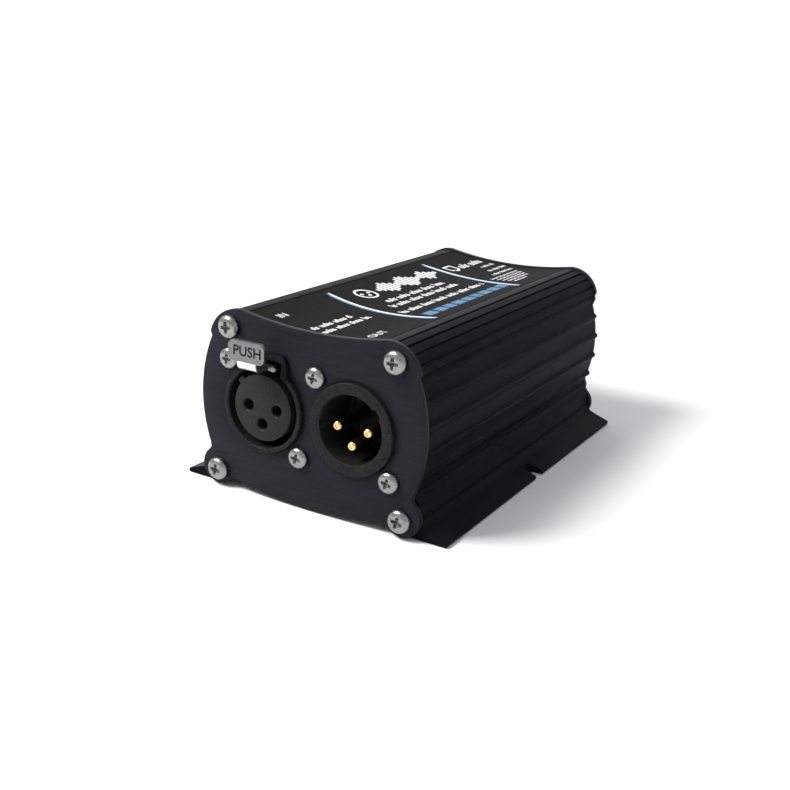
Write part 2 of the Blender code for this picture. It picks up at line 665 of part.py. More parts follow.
def make_lights():
    for sign, side in ((-1, "left"), (1, "right")):
        profile = [(0, 0.9), (0.8, 0.75), (1.3, 0.35)]
        profile += [(LIGHT_RADIUS, -0.1), (LIGHT_RADIUS, -6.0), (0, -6.0)]
        lens = turned(f"light_lens_{side}", profile, 16, (0, 0), 0.0, LENS, upward=True)
        lens.rotation_euler = (-math.pi / 2, 0.0, 0.0)
        lens.location = (sign * LIGHT_X * MM, REAR * MM, LIGHT_Z * MM)
        low = (sign * LIGHT_X - 1.8, REAR - 10.3, SEAT)
        high = (sign * LIGHT_X + 1.8, REAR - 6.3, LIGHT_Z + 1.8)
        block(f"light_lamp_{side}", low, high, CHIP, bevel=0.25)


def on_board(name, x, y, width, depth, height, material, bevel=0.25):
    low = (x - width / 2, y - depth / 2, SEAT)
    high = (x + width / 2, y + depth / 2, SEAT + height)
    block(name, low, high, material, bevel)


def wound_core(name, x, y, width, depth, height):
    """A transformer: a ferrite frame with its bobbin standing out in front and behind."""
    on_board(name, x, y, width, depth, height, FERRITE, bevel=0.4)
    core = bpy.data.objects[name]
    low = (x - width * 0.32, y - depth * 0.68, SEAT + 0.9)
    high = (x + width * 0.32, y + depth * 0.68, SEAT + height - 1.2)
    combine(core, block(name + "_bobbin", low, high, None, helper=True), "UNION")


def capacitor(name, x, y, radius, height):
    profile = [
        (0, height - 0.3), (radius - 0.9, height - 0.3), (radius - 0.5, height), (radius, height - 0.5),
        (radius, 1.9), (radius - 0.35, 1.5), (radius, 1.1), (radius, 0.2), (radius - 0.2, 0), (0, 0),
    ]
    turned(name, profile, 20, (x, y), SEAT, SLEEVE, upward=True)


def make_electronics():
    low = (-BOARD_HALF, FRONT + 6.0, BOARD_LOW)
    high = (BOARD_HALF, REAR - PLATE_THICKNESS - 1.0, BOARD_TOP)
    block("main_board", low, high, BOARD)
    on_board("network_processor", -2.0, 5.0, 14.0, 14.0, 1.6, CHIP)
    on_board("memory_chip", 13.5, 3.0, 6.2, 5.2, 1.6, CHIP)
    on_board("audio_transceiver", 0.0, -14.0, 9.8, 6.2, 1.8, CHIP)
    on_board("power_controller", -18.0, 14.0, 5.0, 5.0, 1.4, CHIP)
    on_board("crystal", 11.5, 11.0, 11.2, 4.6, 3.6, NICKEL, bevel=0.9)
    wound_core("isolation_transformer_1", -12.2, -19.0, 9.5, 7.5, 8.0)
    wound_core("isolation_transformer_2", 12.2, -19.0, 9.5, 7.5, 8.0)
    wound_core("network_transformer", 1.5, 23.5, 15.0, 5.2, 6.2)
    wound_core("power_transformer", -17.5, 28.5, 13.0, 10.0, 11.0)
    on_board("power_inductor", -19.0, 2.5, 9.0, 9.0, 4.6, FERRITE, bevel=1.4)
    capacitor("capacitor_1", 20.5, 22.0, 4.0, 11.0)
    capacitor("capacitor_2", 20.5, 31.5, 4.0, 11.0)
    capacitor("capacitor_3", 20.0, -6.5, 3.1, 9.0)


make_case()
make_plates()
make_label()
place_screws("front_corner_screw", CORNER_SCREW, corner_points(), FRONT, -1)
place_screws("rear_corner_screw", CORNER_SCREW, corner_points(), REAR, 1)
place_screws("female_screw", PANEL_SCREW, connector_points(-CONNECTOR_X), FRONT, -1)
place_screws("male_screw", PANEL_SCREW, connector_points(CONNECTOR_X), FRONT, -1)
make_female()
make_latch()
make_latch_spring()
make_male()
make_jack()
make_lights()
make_electronics()
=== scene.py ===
"""The looks of a two-connector audio interface box: fine meshes, materials, print, camera and light.

Lengths are in millimetres and the mesh helpers turn them into Blender's metres. Places come from the
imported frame. Outlines are (x, z) points seen from the front; +Y runs towards the rear.
"""

from math import acos, cos, degrees, hypot, pi, radians, sin, sqrt

import bmesh
import bpy
from mathutils import Matrix, Vector


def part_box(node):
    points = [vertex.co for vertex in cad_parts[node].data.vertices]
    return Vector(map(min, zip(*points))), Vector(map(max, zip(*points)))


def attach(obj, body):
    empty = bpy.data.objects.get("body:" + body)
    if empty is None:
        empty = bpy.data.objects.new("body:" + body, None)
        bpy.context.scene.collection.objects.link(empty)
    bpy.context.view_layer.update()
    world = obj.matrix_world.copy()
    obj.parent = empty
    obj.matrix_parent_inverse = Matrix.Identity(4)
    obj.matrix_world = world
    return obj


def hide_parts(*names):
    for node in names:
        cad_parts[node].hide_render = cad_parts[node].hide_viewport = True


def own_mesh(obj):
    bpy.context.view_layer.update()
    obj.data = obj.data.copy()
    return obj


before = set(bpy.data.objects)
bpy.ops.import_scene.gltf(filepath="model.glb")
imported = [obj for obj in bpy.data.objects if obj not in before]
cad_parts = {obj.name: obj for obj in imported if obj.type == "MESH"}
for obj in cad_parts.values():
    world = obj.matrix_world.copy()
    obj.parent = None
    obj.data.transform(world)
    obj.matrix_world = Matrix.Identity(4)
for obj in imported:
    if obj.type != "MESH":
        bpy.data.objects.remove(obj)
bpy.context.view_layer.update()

MM = 0.001


def box_of(node):
    low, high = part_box(node)
    return low / MM, high / MM


def middle_of(node):
    low, high = box_of(node)
    return (low + high) / 2


PLATE_LOW, PLATE_HIGH = box_of("front_plate")
FRONT, PLATE = PLATE_LOW.y, PLATE_HIGH.y - PLATE_LOW.y
REAR = box_of("rear_plate")[1].y
CASE_LOW, CASE_HIGH = box_of("case_extrusion")
FLANGE_HALF = CASE_HIGH.x
MALE = middle_of("male_insert")
FEMALE_X = middle_of("female_insert").x
AXIS_Z = MALE.z
LABEL_LOW, LABEL_HIGH = box_of("top_label")
LABEL_HALF = LABEL_HIGH.x
JACK_LOW, JACK_HIGH = box_of("jack_shield")
TOP_SCREW = middle_of("front_corner_screw_2")
BOTTOM_SCREW = middle_of("front_corner_screw_4")

# Case outline
DISH_RADIUS = 105.0
DISH_LOW = 42.8
SHOULDER_CENTRE, SHOULDER_RADIUS = (20.2, 36.5), 8.1
SHOULDER_GROOVES = (81.0, 64.0, 46.5, 28.5)
BARREL_CENTRE, BARREL_RADIUS = (-4.7, 23.5), 35.4
RIDGES = (37.0, 32.0, 26.2, 20.2, 14.3, 10.4)
WALL_RADIUS = 32.9
LOBE_CENTRE, LOBE_RADIUS = (25.9, 4.9), 4.6
BULGE_RADIUS, BULGE_LOW = 105.0, 0.35
SLOT_HALF, SLOT_CENTRE = 2.1, 34.6
FLANGE_TIP = 1.0
CLEAR, GAP = 0.3, 0.15

# Plates and screws. A screw: the node its head's size comes from, its head's height, shank radius, length
REAR_INSET, PLATE_EDGE = 1.35, 0.16
CORNER_HOLE, CONNECTOR_HOLE, LENS_HOLE = 1.7, 1.3, 1.65
SCREWS = {"corner": ("front_corner_screw_1", 1.6, 1.4, 8.0), "panel": ("female_screw_1", 1.4, 1.0, 5.6)}

# Connectors
RING_RADIUS, RING_PROUD = 11.0, 1.2
SHELL_OUTER, SHELL_DEPTH, CUP_DEPTH = 10.6, 17.0, 12.0
FEMALE_BORE, CORE_RADIUS = 9.75, 8.1
MALE_BORE = 8.2
EAR = 10.15
CONTACT_SPREAD = 4.05
PIN_RADIUS, SOCKET_RADIUS = 1.2, 1.4

# The part of its 0 to 1 that a noise mostly fills
NOISE_LOW, NOISE_HIGH = 0.3, 0.7


# --- Materials


class Surface:
    """A Principled material whose colour, roughness and bump come from procedural textures."""

    def __init__(self, name, metallic=0.0, specular=0.5, coat=0.0):
        self.material = bpy.data.materials.new(name)
        self.material.use_nodes = True
        self.nodes = self.material.node_tree.nodes
        self.shader = self.nodes["Principled BSDF"]
        self.shader.inputs["Metallic"].default_value = metallic
        self.shader.inputs["Specular IOR Level"].default_value = specular
        self.shader.inputs["Coat Weight"].default_value = coat
        self.coords = self.nodes.new("ShaderNodeTexCoord")

    def link(self, out, into):
        self.material.node_tree.links.new(out, into)

    def noise(self, size, stretch=(1, 1, 1), detail=3.0, shape="ShaderNodeTexNoise"):
        """A noise whose features are about size millimetres across, stretched along each axis."""
        mapping = self.nodes.new("ShaderNodeMapping")
        mapping.inputs["Scale"].default_value = [1 / (size * MM * s) for s in stretch]
        texture = self.nodes.new(shape)
        texture.inputs["Scale"].default_value = 1.0
        texture.inputs["Detail"].default_value = detail
        self.link(self.coords.outputs["Object"], mapping.inputs["Vector"])
        self.link(mapping.outputs["Vector"], texture.inputs["Vector"])
        return texture.outputs["Fac"] if "Fac" in texture.outputs else texture.outputs["Distance"]

    def colour(self, value, dark, light, start=NOISE_LOW, end=NOISE_HIGH):
        node = self.nodes.new("ShaderNodeValToRGB")
        node.color_ramp.elements[0].position = start
        node.color_ramp.elements[1].position = end
        node.color_ramp.elements[0].color = (*dark, 1.0)
        node.color_ramp.elements[1].color = (*light, 1.0)
        self.link(value, node.inputs["Fac"])
        self.link(node.outputs["Color"], self.shader.inputs["Base Color"])
        return self

    def roughness(self, value, low, high):
        node = self.nodes.new("ShaderNodeMapRange")
        limits = {"From Min": NOISE_LOW, "From Max": NOISE_HIGH, "To Min": low, "To Max": high}
        for key, number in limits.items():
            node.inputs[key].default_value = number
        self.link(value, node.inputs["Value"])
        self.link(node.outputs["Result"], self.shader.inputs["Roughness"])
        return self

    def bump(self, *layers):
        """Each layer is a texture value and its height in millimetres."""
        normal = None
        for value, height in layers:
            node = self.nodes.new("ShaderNodeBump")
            node.inputs["Strength"].default_value = 1.0
            node.inputs["Distance"].default_value = height * MM
            self.link(value, node.inputs["Height"])
            if normal is not None:
                self.link(normal, node.inputs["Normal"])
            normal = node.outputs["Normal"]
        self.link(normal, self.shader.inputs["Normal"])
        return self


def anodised(name, dark, light, along, specular, rough):
    """Black anodised aluminium: fine drawing lines along one axis, with a soft cloudiness in its gloss."""
    made = Surface(name, specular=specular)
    stretch = [14.0 if axis == along else 1.0 for axis in "XYZ"]
    made.colour(made.noise(0.5, stretch, detail=5.0), dark, light)
    made.roughness(made.noise(9.0, detail=2.0), *rough)
    lines, etching = made.noise(0.22, stretch, detail=2.0), made.noise(0.12, detail=1.0)
    return made.bump((lines, 0.004), (etching, 0.003)).material


def moulded(name, dark, light, grain, height, rough=(0.45, 0.6), specular=0.4):
    """Moulded plastic with a spark-eroded grain."""
    made = Surface(name, specular=specular)
    grains = made.noise(grain, detail=2.0)
    made.colour(grains, dark, light, 0.35, 0.68)
    made.roughness(made.noise(grain * 6), *rough)
    return made.bump((grains, height), (made.noise(grain * 0.4), height * 0.3)).material


def plated(name, dark, light, rough, height=0.002, size=0.5):
    """Plated metal with faint haze and handling marks."""
    made = Surface(name, metallic=1.0)
    made.colour(made.noise(size * 4, detail=4.0), dark, light)
    made.roughness(made.noise(size * 1.5, (1, 1, 3), detail=5.0), *rough)
    return made.bump((made.noise(size, detail=3.0), height)).material


def ink(name, dark, light, specular=0.3):
    """Screen-printed ink, a little uneven, with tiny pinholes."""
    made = Surface(name, specular=specular)
    made.colour(made.noise(0.35, detail=5.0), dark, light, 0.25, 0.5)
    made.roughness(made.noise(1.2), 0.42, 0.6)
    return made.bump((made.noise(0.3), 0.002)).material


def solder_mask():
    """A green board: darker copper areas under the mask, in right-angled cells."""
    made = Surface("solder_mask", specular=0.5, coat=0.3)
    cells = made.noise(3.2, (1, 1.7, 4), detail=0.0, shape="ShaderNodeTexVoronoi")
    made.colour(cells, (0.006, 0.045, 0.02), (0.012, 0.10, 0.045), 0.2, 0.55)
    made.roughness(made.noise(2.0), 0.3, 0.42)
    return made.bump((cells, 0.02)).material


def clear_lens():
    """Pale green, half clear plastic."""
    made = Surface("lens_clear", specular=0.5)
    made.shader.inputs["Transmission Weight"].default_value = 0.55
    made.colour(made.noise(0.9), (0.42, 0.66, 0.42), (0.60, 0.82, 0.58))
    made.roughness(made.noise(0.7), 0.08, 0.2)
    return made.bump((made.noise(0.5), 0.002)).material


CASE_FINISH = anodised("case_anodised", (0.0048, 0.0047, 0.0062), (0.0068, 0.0067, 0.0088), "Y",
                       specular=0.017, rough=(0.40, 0.44))
PANEL_FINISH = anodised("panel_anodised", (0.0110, 0.0106, 0.0146), (0.0156, 0.0150, 0.0200), "X",
                        specular=0.06, rough=(0.42, 0.47))
LABEL_FILM = moulded("label_film", (0.0078, 0.0078, 0.0080), (0.0110, 0.0110, 0.0112),
                     grain=0.3, height=0.003, rough=(0.5, 0.56), specular=0.008)
SHELL_GRAIN = moulded("shell_grain", (0.0018, 0.0018, 0.0019), (0.0200, 0.0200, 0.0207),
                      grain=0.32, height=0.05, specular=0.10)
# Painted shade: a darker copy of the shell plastic, with a finer grain, for the hood's faces
HOOD_SHADE_GRAIN = moulded("hood_grain_painted_shade", (0.0035, 0.0034, 0.0042), (0.0085, 0.0083, 0.0098),
                     grain=0.24, height=0.02, specular=0.05)
INSERT_SATIN = moulded("insert_satin", (0.0060, 0.0060, 0.0061), (0.021, 0.021, 0.0215),
                       grain=0.22, height=0.03, specular=0.15)
NICKEL = plated("nickel_bright", (0.25, 0.248, 0.24), (0.31, 0.307, 0.30), (0.24, 0.30))
TAB_NICKEL = plated("nickel_satin", (0.170, 0.170, 0.167), (0.205, 0.205, 0.202), (0.36, 0.44),
                    height=0.006, size=0.3)
# Painted highlight: a far lighter copy of the latch's nickel for the front faces of its neck
NECK_PAINTED_HIGHLIGHT = plated("nickel_painted_highlight", (0.74, 0.735, 0.72), (0.84, 0.835, 0.82), (0.30, 0.38))
# Painted shade: a darker copy of the screws' nickel for the faces of their cross recess
RECESS_PAINTED_SHADE = plated("nickel_recess_painted_shade", (0.20, 0.20, 0.197), (0.27, 0.27, 0.265), (0.45, 0.55))
SHADED_STEEL = plated("steel_in_shade", (0.070, 0.070, 0.069), (0.10, 0.10, 0.098), (0.5, 0.6))
TIN = plated("tin_shield", (0.55, 0.55, 0.55), (0.70, 0.70, 0.69), (0.22, 0.36), height=0.004, size=0.8)
SPRING = plated("spring_wire", (0.42, 0.42, 0.43), (0.62, 0.62, 0.62), (0.2, 0.35))
GOLD = plated("gold_bright", (0.82, 0.55, 0.20), (0.95, 0.70, 0.32), (0.14, 0.26))
# Painted shade: a dark copy of the gold for the pins' shafts inside the cup
SHADED_GOLD = plated("gold_shaft_painted_shade", (0.050, 0.034, 0.014), (0.075, 0.050, 0.020), (0.4, 0.5))
WHITE_INK = ink("ink_white", (0.62, 0.62, 0.61), (0.86, 0.86, 0.85))
BLUE_INK = ink("ink_blue", (0.012, 0.090, 0.20), (0.024, 0.150, 0.31))
LEGEND_INK = ink("ink_dark", (0.004, 0.004, 0.004), (0.010, 0.010, 0.010), specular=0.05)
BOARD_MASK = solder_mask()
EPOXY = moulded("chip_epoxy_fine", (0.012, 0.012, 0.013), (0.022, 0.022, 0.023), grain=0.12, height=0.006)
FERRITE = moulded("ferrite_grain", (0.035, 0.035, 0.038), (0.065, 0.063, 0.062),
                  grain=0.3, height=0.02, rough=(0.5, 0.7))
SLEEVE = moulded("sleeve_gloss", (0.010, 0.014, 0.045), (0.018, 0.026, 0.075),
                 grain=1.2, height=0.004, rough=(0.18, 0.3))
LENS = clear_lens()


# --- Outlines


def arc(centre, radius, start, end, count):
    """Points on a circle from one angle to another, in degrees."""
    turns = [radians(start + (end - start) * i / count) for i in range(count + 1)]
    return [(centre[0] + radius * cos(t), centre[1] + radius * sin(t)) for t in turns]


def circle(centre, radius, count=48):
    return arc(centre, radius, 0, 360, count)[:-1]


def on_barrel(radius, z):
    """The half-width, at height z, of the circle that the fluted side follows."""
    return BARREL_CENTRE[0] + sqrt(radius**2 - (z - BARREL_CENTRE[1]) ** 2)


def dish(x, low=DISH_LOW):
    """The height of the hollow top at x."""
    return low + DISH_RADIUS - sqrt(DISH_RADIUS**2 - x**2)


def mirrored(half):
    """A whole outline from its half on the right."""
    return half + [(-x, z) for x, z in reversed(half) if x > 0]


def grooved_shoulder():
    """The rounded shoulder with its square-bottomed grooves."""
    centre, radius = SHOULDER_CENTRE, SHOULDER_RADIUS
    half_angle, depth, edge, slope, corner = 1.75, 0.5, 0.08, 0.3, 0.5
    start, end = 97.0, 13.0
    points = []
    for angle in SHOULDER_GROOVES:
        before, after = angle + half_angle, angle - half_angle
        points += arc(centre, radius, start, before + corner, 5)
        points += arc(centre, radius - edge, before, before, 1)[:1]
        points += arc(centre, radius - depth, before - slope, after + slope, 2)
        points += arc(centre, radius - edge, after, after, 1)[:1]
        start = after - corner
    return points + arc(centre, radius, start, end, 6)


def fluted_side():
    """Narrow rounded ridges on the barrel's circle, with a broad hollow under each."""
    half, rounding, depth, steps = 0.4, 0.07, 0.8, 18
    points = []
    for upper, lower in zip(RIDGES, RIDGES[1:]):
        top, bottom = upper - half, lower + half
        points.append((on_barrel(BARREL_RADIUS, upper), upper))
        for step in range(steps + 1):
            share = step / steps
            z = top + (bottom - top) * share
            hollow = rounding + depth * (1 - (1 - sin(pi * share)) ** 3)
            points.append((on_barrel(BARREL_RADIUS - hollow, z), z))
    return points


def case_outline():
    """From the middle of the label's recess, down the right side and in along the underside."""
    recess, drop = LABEL_HALF + CLEAR, 0.6
    half = [(recess * i / 14, dish(recess * i / 14) - drop) for i in range(15)]
    half += [(recess, dish(recess) - 0.08), (recess + 0.08, dish(recess + 0.08))]
    half += grooved_shoulder()
    half += [(27.75, 37.85), (27.5, 37.6), (27.62, 37.35)]
    half += fluted_side()
    # the waist, the foot of the side, and the flange from its root to its tip
    half += [(28.4, 9.95), (28.2, 9.7), (28.35, 9.5), (29.15, 8.75), (29.3, 8.5), (29.5, 5.55), (29.62, 5.3)]
    half += [(30.0, 5.05), (29.92, 4.75), (29.92, 4.45), (30.05, 4.1), (30.6, 3.4), (31.4, 2.8)]
    upper, lower = 0.35, 0.3
    half += arc((FLANGE_HALF - upper, FLANGE_TIP - upper), upper, 72, 0, 4)
    half += arc((FLANGE_HALF - lower, lower), lower, 0, -90, 3) + [(27.0, 0.0), (24.0, 0.9), (19.6, 2.5)]
    return mirrored(half + [(13.0, 1.6), (6.5, 1.0), (0.0, 0.65)])


def cavity_outline():
    """The hollow inside, with its screw bosses and the slots that hold the board's edges."""
    seat, rail, board_half, boss = 12.1, 24.6, 26.3, 3.4
    half = [(0.0, 40.0), (17.6, 40.45)] + arc((TOP_SCREW.x, TOP_SCREW.z), boss, 190, 300, 12)
    for step in range(15):
        z = 36.0 + (seat + 1.2 - 36.0) * step / 14
        half.append((on_barrel(WALL_RADIUS, z), z))
    half += [(rail, seat + 1.2), (rail, seat), (board_half, seat), (board_half, seat - 2.2)]
    half += [(rail, seat - 2.2), (rail, seat - 3.4)]
    half += arc((BOTTOM_SCREW.x, BOTTOM_SCREW.z), boss, 105, 180, 8)
    return mirrored(half + [(19.6, 4.4), (0.0, 2.7)])


def plate_outline(inset=0.0):
    """A plate is a hair larger than the case, and drawn in by the inset down its sides."""
    margin, shoulder_margin, barrel_margin, dish_end = 0.3, 0.1, 0.1, 19.2
    half = [(dish_end * i / 12, dish(dish_end * i / 12, DISH_LOW + margin)) for i in range(13)]
    shoulder = (SHOULDER_CENTRE[0], SHOULDER_CENTRE[1] + shoulder_margin)
    half += arc(shoulder, SHOULDER_RADIUS + margin, 94, 13, 30)
    half += [(28.12, 37.95), (27.98, 37.65), (27.97, 37.3)]
    top, height, steps = 36.7, 26.3, 26
    for step in range(steps + 1):
        z = top - height * step / steps
        drawn_in = inset * min(1.0, step / 2, (steps - step) / 2)
        half.append((on_barrel(BARREL_RADIUS + barrel_margin - drawn_in, z), z))
    half += [(28.3, 9.85), (28.15, 9.55), (28.25, 9.2)]
    half += arc(LOBE_CENTRE, LOBE_RADIUS, 50, -138, 34)
    high = BULGE_LOW + BULGE_RADIUS
    half += [(x, high - sqrt(BULGE_RADIUS**2 - x**2)) for x in [20.8 - 1.6 * i for i in range(14)]]
    return mirrored([point for point in half if point[0] >= 0])


def corner_points():
    return [(sign * at.x, at.z) for at in (TOP_SCREW, BOTTOM_SCREW) for sign in (-1, 1)]


def connector_points(x):
    """The two screws of the connector whose middle is at x."""
    return [(x - EAR, AXIS_Z + EAR), (x + EAR, AXIS_Z - EAR)]


def contact_points(x):
    """The three contacts of the connector whose middle is at x."""
    places = ((-CONTACT_SPREAD, 0), (CONTACT_SPREAD, 0), (0, -CONTACT_SPREAD))
    return [(x + dx, AXIS_Z + dz) for dx, dz in places]


# --- Mesh helpers


def link(name, data):
    made = bpy.data.objects.new(name, data)
    bpy.context.scene.collection.objects.link(made)
    return made


def meshed(name, bm):
    """An object from a finished bmesh, whose faces are turned outwards."""
    bmesh.ops.recalc_face_normals(bm, faces=bm.faces)
    mesh = bpy.data.meshes.new(name)
    bm.to_mesh(mesh)
    bm.free()
    return link(name, mesh)


def skinned(bm, rings, steps):
    """Faces between rings that have steps points each, or one point where they close to a tip."""
    for upper, lower in zip(rings, rings[1:]):
        for i in range(steps):
            corners = [upper[i % len(upper)], upper[(i + 1) % len(upper)]]
            corners += [lower[(i + 1) % len(lower)], lower[i % len(lower)]]
            bm.faces.new(list(dict.fromkeys(corners)))


def evaluated(source):
    """A plain mesh with the shape that an object's modifiers and curves give; the object is removed."""
    bpy.context.view_layer.update()
    mesh = bpy.data.meshes.new_from_object(source.evaluated_get(bpy.context.evaluated_depsgraph_get()))
    mesh.transform(source.matrix_world)
    bpy.data.objects.remove(source)
    return mesh


def baked(source, name):
    """A plain mesh object in place of a curve, or of an object with modifiers."""
    mesh = evaluated(source)
    mesh.name = name
    bm = bmesh.new()
    bm.from_mesh(mesh)
    bmesh.ops.remove_doubles(bm, verts=bm.verts, dist=1e-7)
    bmesh.ops.recalc_face_normals(bm, faces=bm.faces)
    bm.to_mesh(mesh)
    bm.free()
    return link(name, mesh)


def shaded(piece, angle=32):
    piece.data.shade_smooth()
    piece.data.set_sharp_from_angle(angle=radians(angle))
    return piece


def softened(piece, width, angle=40, segments=2):
    """Rounds a piece's sharp edges, for the line of light that every real edge has."""
    bevel = piece.modifiers.new("edge", "BEVEL")
    bevel.width = width * MM
    bevel.segments = segments
    bevel.limit_method = "ANGLE"
    bevel.angle_limit = radians(angle)
    return shaded(baked(piece, piece.name))


def drawn(name, dimensions, paths, closed):
    curve = bpy.data.curves.new(name, "CURVE")
    curve.dimensions = dimensions
    for path in paths:
        spline = curve.splines.new("POLY")
        spline.points.add(len(path) - 1)
        for point, at in zip(spline.points, path):
            point.co = (*[value * MM for value in at], 1.0)
        spline.use_cyclic_u = closed
    return curve


def outlined(name, outlines, front, rear):
    """A flat outline and its holes, drawn as (x, z) points, from one y to another."""
    curve = drawn(name, "2D", [[(x, z, 0.0) for x, z in points] for points in outlines], True)
    curve.fill_mode = "BOTH"
    curve.extrude = (rear - front) / 2 * MM
    source = link(name, curve)
    source.rotation_euler = (pi / 2, 0.0, 0.0)
    source.location = (0.0, (front + rear) / 2 * MM, 0.0)
    return baked(source, name)


def turned(name, profile, steps=72, at=(0.0, 0.0, 0.0), facing="Z"):
    """A profile of (radius, height) points turned about an axis along Z, or towards the front or rear."""
    bm = bmesh.new()
    rings = []
    for radius, height in profile:
        turns = [2 * pi * i / steps for i in range(steps if radius > 0 else 1)]
        points = [(radius * cos(t) * MM, radius * sin(t) * MM, height * MM) for t in turns]
        rings.append([bm.verts.new(point) for point in points])
    if profile[0] == profile[-1]:
        rings[-1] = rings[0]
    skinned(bm, rings, steps)
    bmesh.ops.delete(bm, geom=[v for v in bm.verts if not v.link_faces], context="VERTS")
    made = meshed(name, bm)
    tilt = {"Z": 0.0, "front": pi / 2, "rear": -pi / 2}[facing]
    made.data.transform(Matrix.Translation(Vector(at) * MM) @ Matrix.Rotation(tilt, 4, "X"))
    return made


def slab(name, low, high):
    """A box between two corners, as a helper for cutting and joining."""
    bm = bmesh.new()
    bmesh.ops.create_cube(bm, size=1.0)
    size = [b - a for a, b in zip(low, high)]
    middle = [(a + b) / 2 for a, b in zip(low, high)]
    bmesh.ops.scale(bm, vec=Vector(size) * MM, verts=bm.verts)
    bmesh.ops.translate(bm, vec=Vector(middle) * MM, verts=bm.verts)
    return meshed(name, bm)


def swept(name, stations, steps=36):
    """A round solid through (point, direction, radius) stations, whose path stays in one x plane."""
    bm = bmesh.new()
    rings = []
    for point, direction, radius in stations:
        ahead = Vector(direction).normalized()
        up = Vector((1, 0, 0)).cross(ahead)
        turns = [2 * pi * i / steps for i in range(steps if radius > 0 else 1)]
        spokes = [Vector((cos(t), 0, 0)) + up * sin(t) for t in turns]
        rings.append([bm.verts.new((Vector(point) + spoke * radius) * MM) for spoke in spokes])
    skinned(bm, rings, steps)
    return meshed(name, bm)


def lead(name, x, z, face, nose, radius, rear, foot):
    """A contact: its nose at the front, a straight run, and a bend down to its foot on the board."""
    bend, chamfer = 1.0, 0.2
    stations = [((x, face + depth, z), (0, 1, 0), reach) for reach, depth in nose]
    for step in range(9):
        turn = radians(90 * step / 8)
        at = (x, rear - bend + bend * sin(turn), z - bend + bend * cos(turn))
        stations.append((at, (0, cos(turn), -sin(turn)), radius))
    for height, reach in ((foot + chamfer, radius), (foot, radius - chamfer), (foot, 0)):
        stations.append(((x, rear, height), (0, 0, -1), reach))
    return swept(name, stations)


def combined(piece, other, operation):
    step = piece.modifiers.new(operation, "BOOLEAN")
    step.operation = operation
    step.solver = "EXACT"
    step.object = other
    made = baked(piece, piece.name)
    bpy.data.objects.remove(other)
    return made


def cut(piece, *others):
    for other in others:
        piece = combined(piece, other, "DIFFERENCE")
    return piece


def joined(piece, *others):
    for other in others:
        piece = combined(piece, other, "UNION")
    return piece


def round_axis(x, angle):
    """Turns a helper from the top of a connector to its place round the connector's axis."""
    move = Matrix.Translation((x * MM, 0.0, AXIS_Z * MM))
    return move @ Matrix.Rotation(radians(-angle), 4, "Y")


def dress(piece, material, slot, *nodes, body="box"):
    """Gives a finished piece its material and its body, and hides the CAD nodes that it stands for."""
    piece.data.materials.clear()
    piece.data.materials.append(material)
    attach(piece, body)
    if nodes:
        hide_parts(*nodes)
    return piece


def regrained(piece, material, chosen):
    """Gives one more material to the faces whose centres, in millimetres, are chosen."""
    piece.data.materials.append(material)
    for patch in piece.data.polygons:
        if chosen(patch.center / MM):
            patch.material_index = len(piece.data.materials) - 1


# --- Case, plates and screws


def make_case():
    """The extrusion, with an open slot half-way along each flange."""
    holes = [circle(point, CORNER_HOLE, 24) for point in corner_points()]
    case = outlined("case_body", [case_outline(), cavity_outline(), *holes], CASE_LOW.y, CASE_HIGH.y)
    middle = (CASE_LOW.y + CASE_HIGH.y) / 2
    for sign in (-1, 1):
        mouth = sign * (FLANGE_HALF + 2)
        outline = [(sign * x, y) for x, y in arc((SLOT_CENTRE, middle), SLOT_HALF, 90, 270, 20)]
        outline += [(mouth, middle - SLOT_HALF), (mouth, middle + SLOT_HALF)]
        cutter = outlined("slot_cutter", [outline], -3.4, 3)
        cutter.data.transform(Matrix.Rotation(-pi / 2, 4, "X"))
        case = cut(case, cutter)
    dress(shaded(case, 24), CASE_FINISH, "black_anodised", "case_extrusion")


def female_opening():
    """The plate's round hole for the female connector, with the room above it for the hood."""
    radius, side = RING_RADIUS + GAP, 6.95
    corner = degrees(acos(side / radius))
    points = arc((FEMALE_X, AXIS_Z), radius, corner, -180 - corner, 80)
    hood = [(-side, 11.6), (-5.85, 13.45), (5.85, 13.45), (side, 11.6)]
    return points + [(FEMALE_X + x, AXIS_Z + z) for x, z in hood]


def make_plates():
    corners = [circle(point, CORNER_HOLE, 32) for point in corner_points()]
    ears = [circle(point, CONNECTOR_HOLE, 28) for x in (FEMALE_X, MALE.x) for point in connector_points(x)]
    ring = circle((MALE.x, AXIS_Z), RING_RADIUS + GAP, 96)
    openings = [*corners, *ears, ring, female_opening()]
    front = outlined("front_panel", [plate_outline(), *openings], FRONT, FRONT + PLATE)
    dress(softened(front, PLATE_EDGE), PANEL_FINISH, "black_anodised", "front_plate")

    left, right = JACK_LOW.x - GAP, JACK_HIGH.x + GAP
    low, high = JACK_LOW.z - GAP, JACK_HIGH.z + GAP
    jack = [(left, low), (right, low), (right, high), (left, high)]
    lenses = [middle_of(f"light_lens_{side}") for side in ("left", "right")]
    lights = [circle((lens.x, lens.z), LENS_HOLE, 32) for lens in lenses]
    rear = outlined("rear_panel", [plate_outline(REAR_INSET), *corners, jack, *lights], REAR - PLATE, REAR)
    dress(softened(rear, PLATE_EDGE), PANEL_FINISH, "black_anodised", "rear_plate")


def cross_cutter(reach, width, top, bottom):
    """The tapered cross of a screwdriver's tip, from above the head down into it."""
    plus = []
    for quarter in range(4):
        turn = Matrix.Rotation(quarter * pi / 2, 2)
        plus += [turn @ Vector(p) for p in ((reach, -width), (reach, width), (width * 1.5, width * 1.5))]
    bm = bmesh.new()
    loops = []
    for z, scale in ((top, 1.05), (bottom + 0.4, 0.72), (bottom, 0.3)):
        loops.append([bm.verts.new((p.x * scale * MM, p.y * scale * MM, z * MM)) for p in plus])
    skinned(bm, loops, len(plus))
    bm.faces.new(loops[0])
    bm.faces.new(loops[-1])
    return meshed("cross", bm)


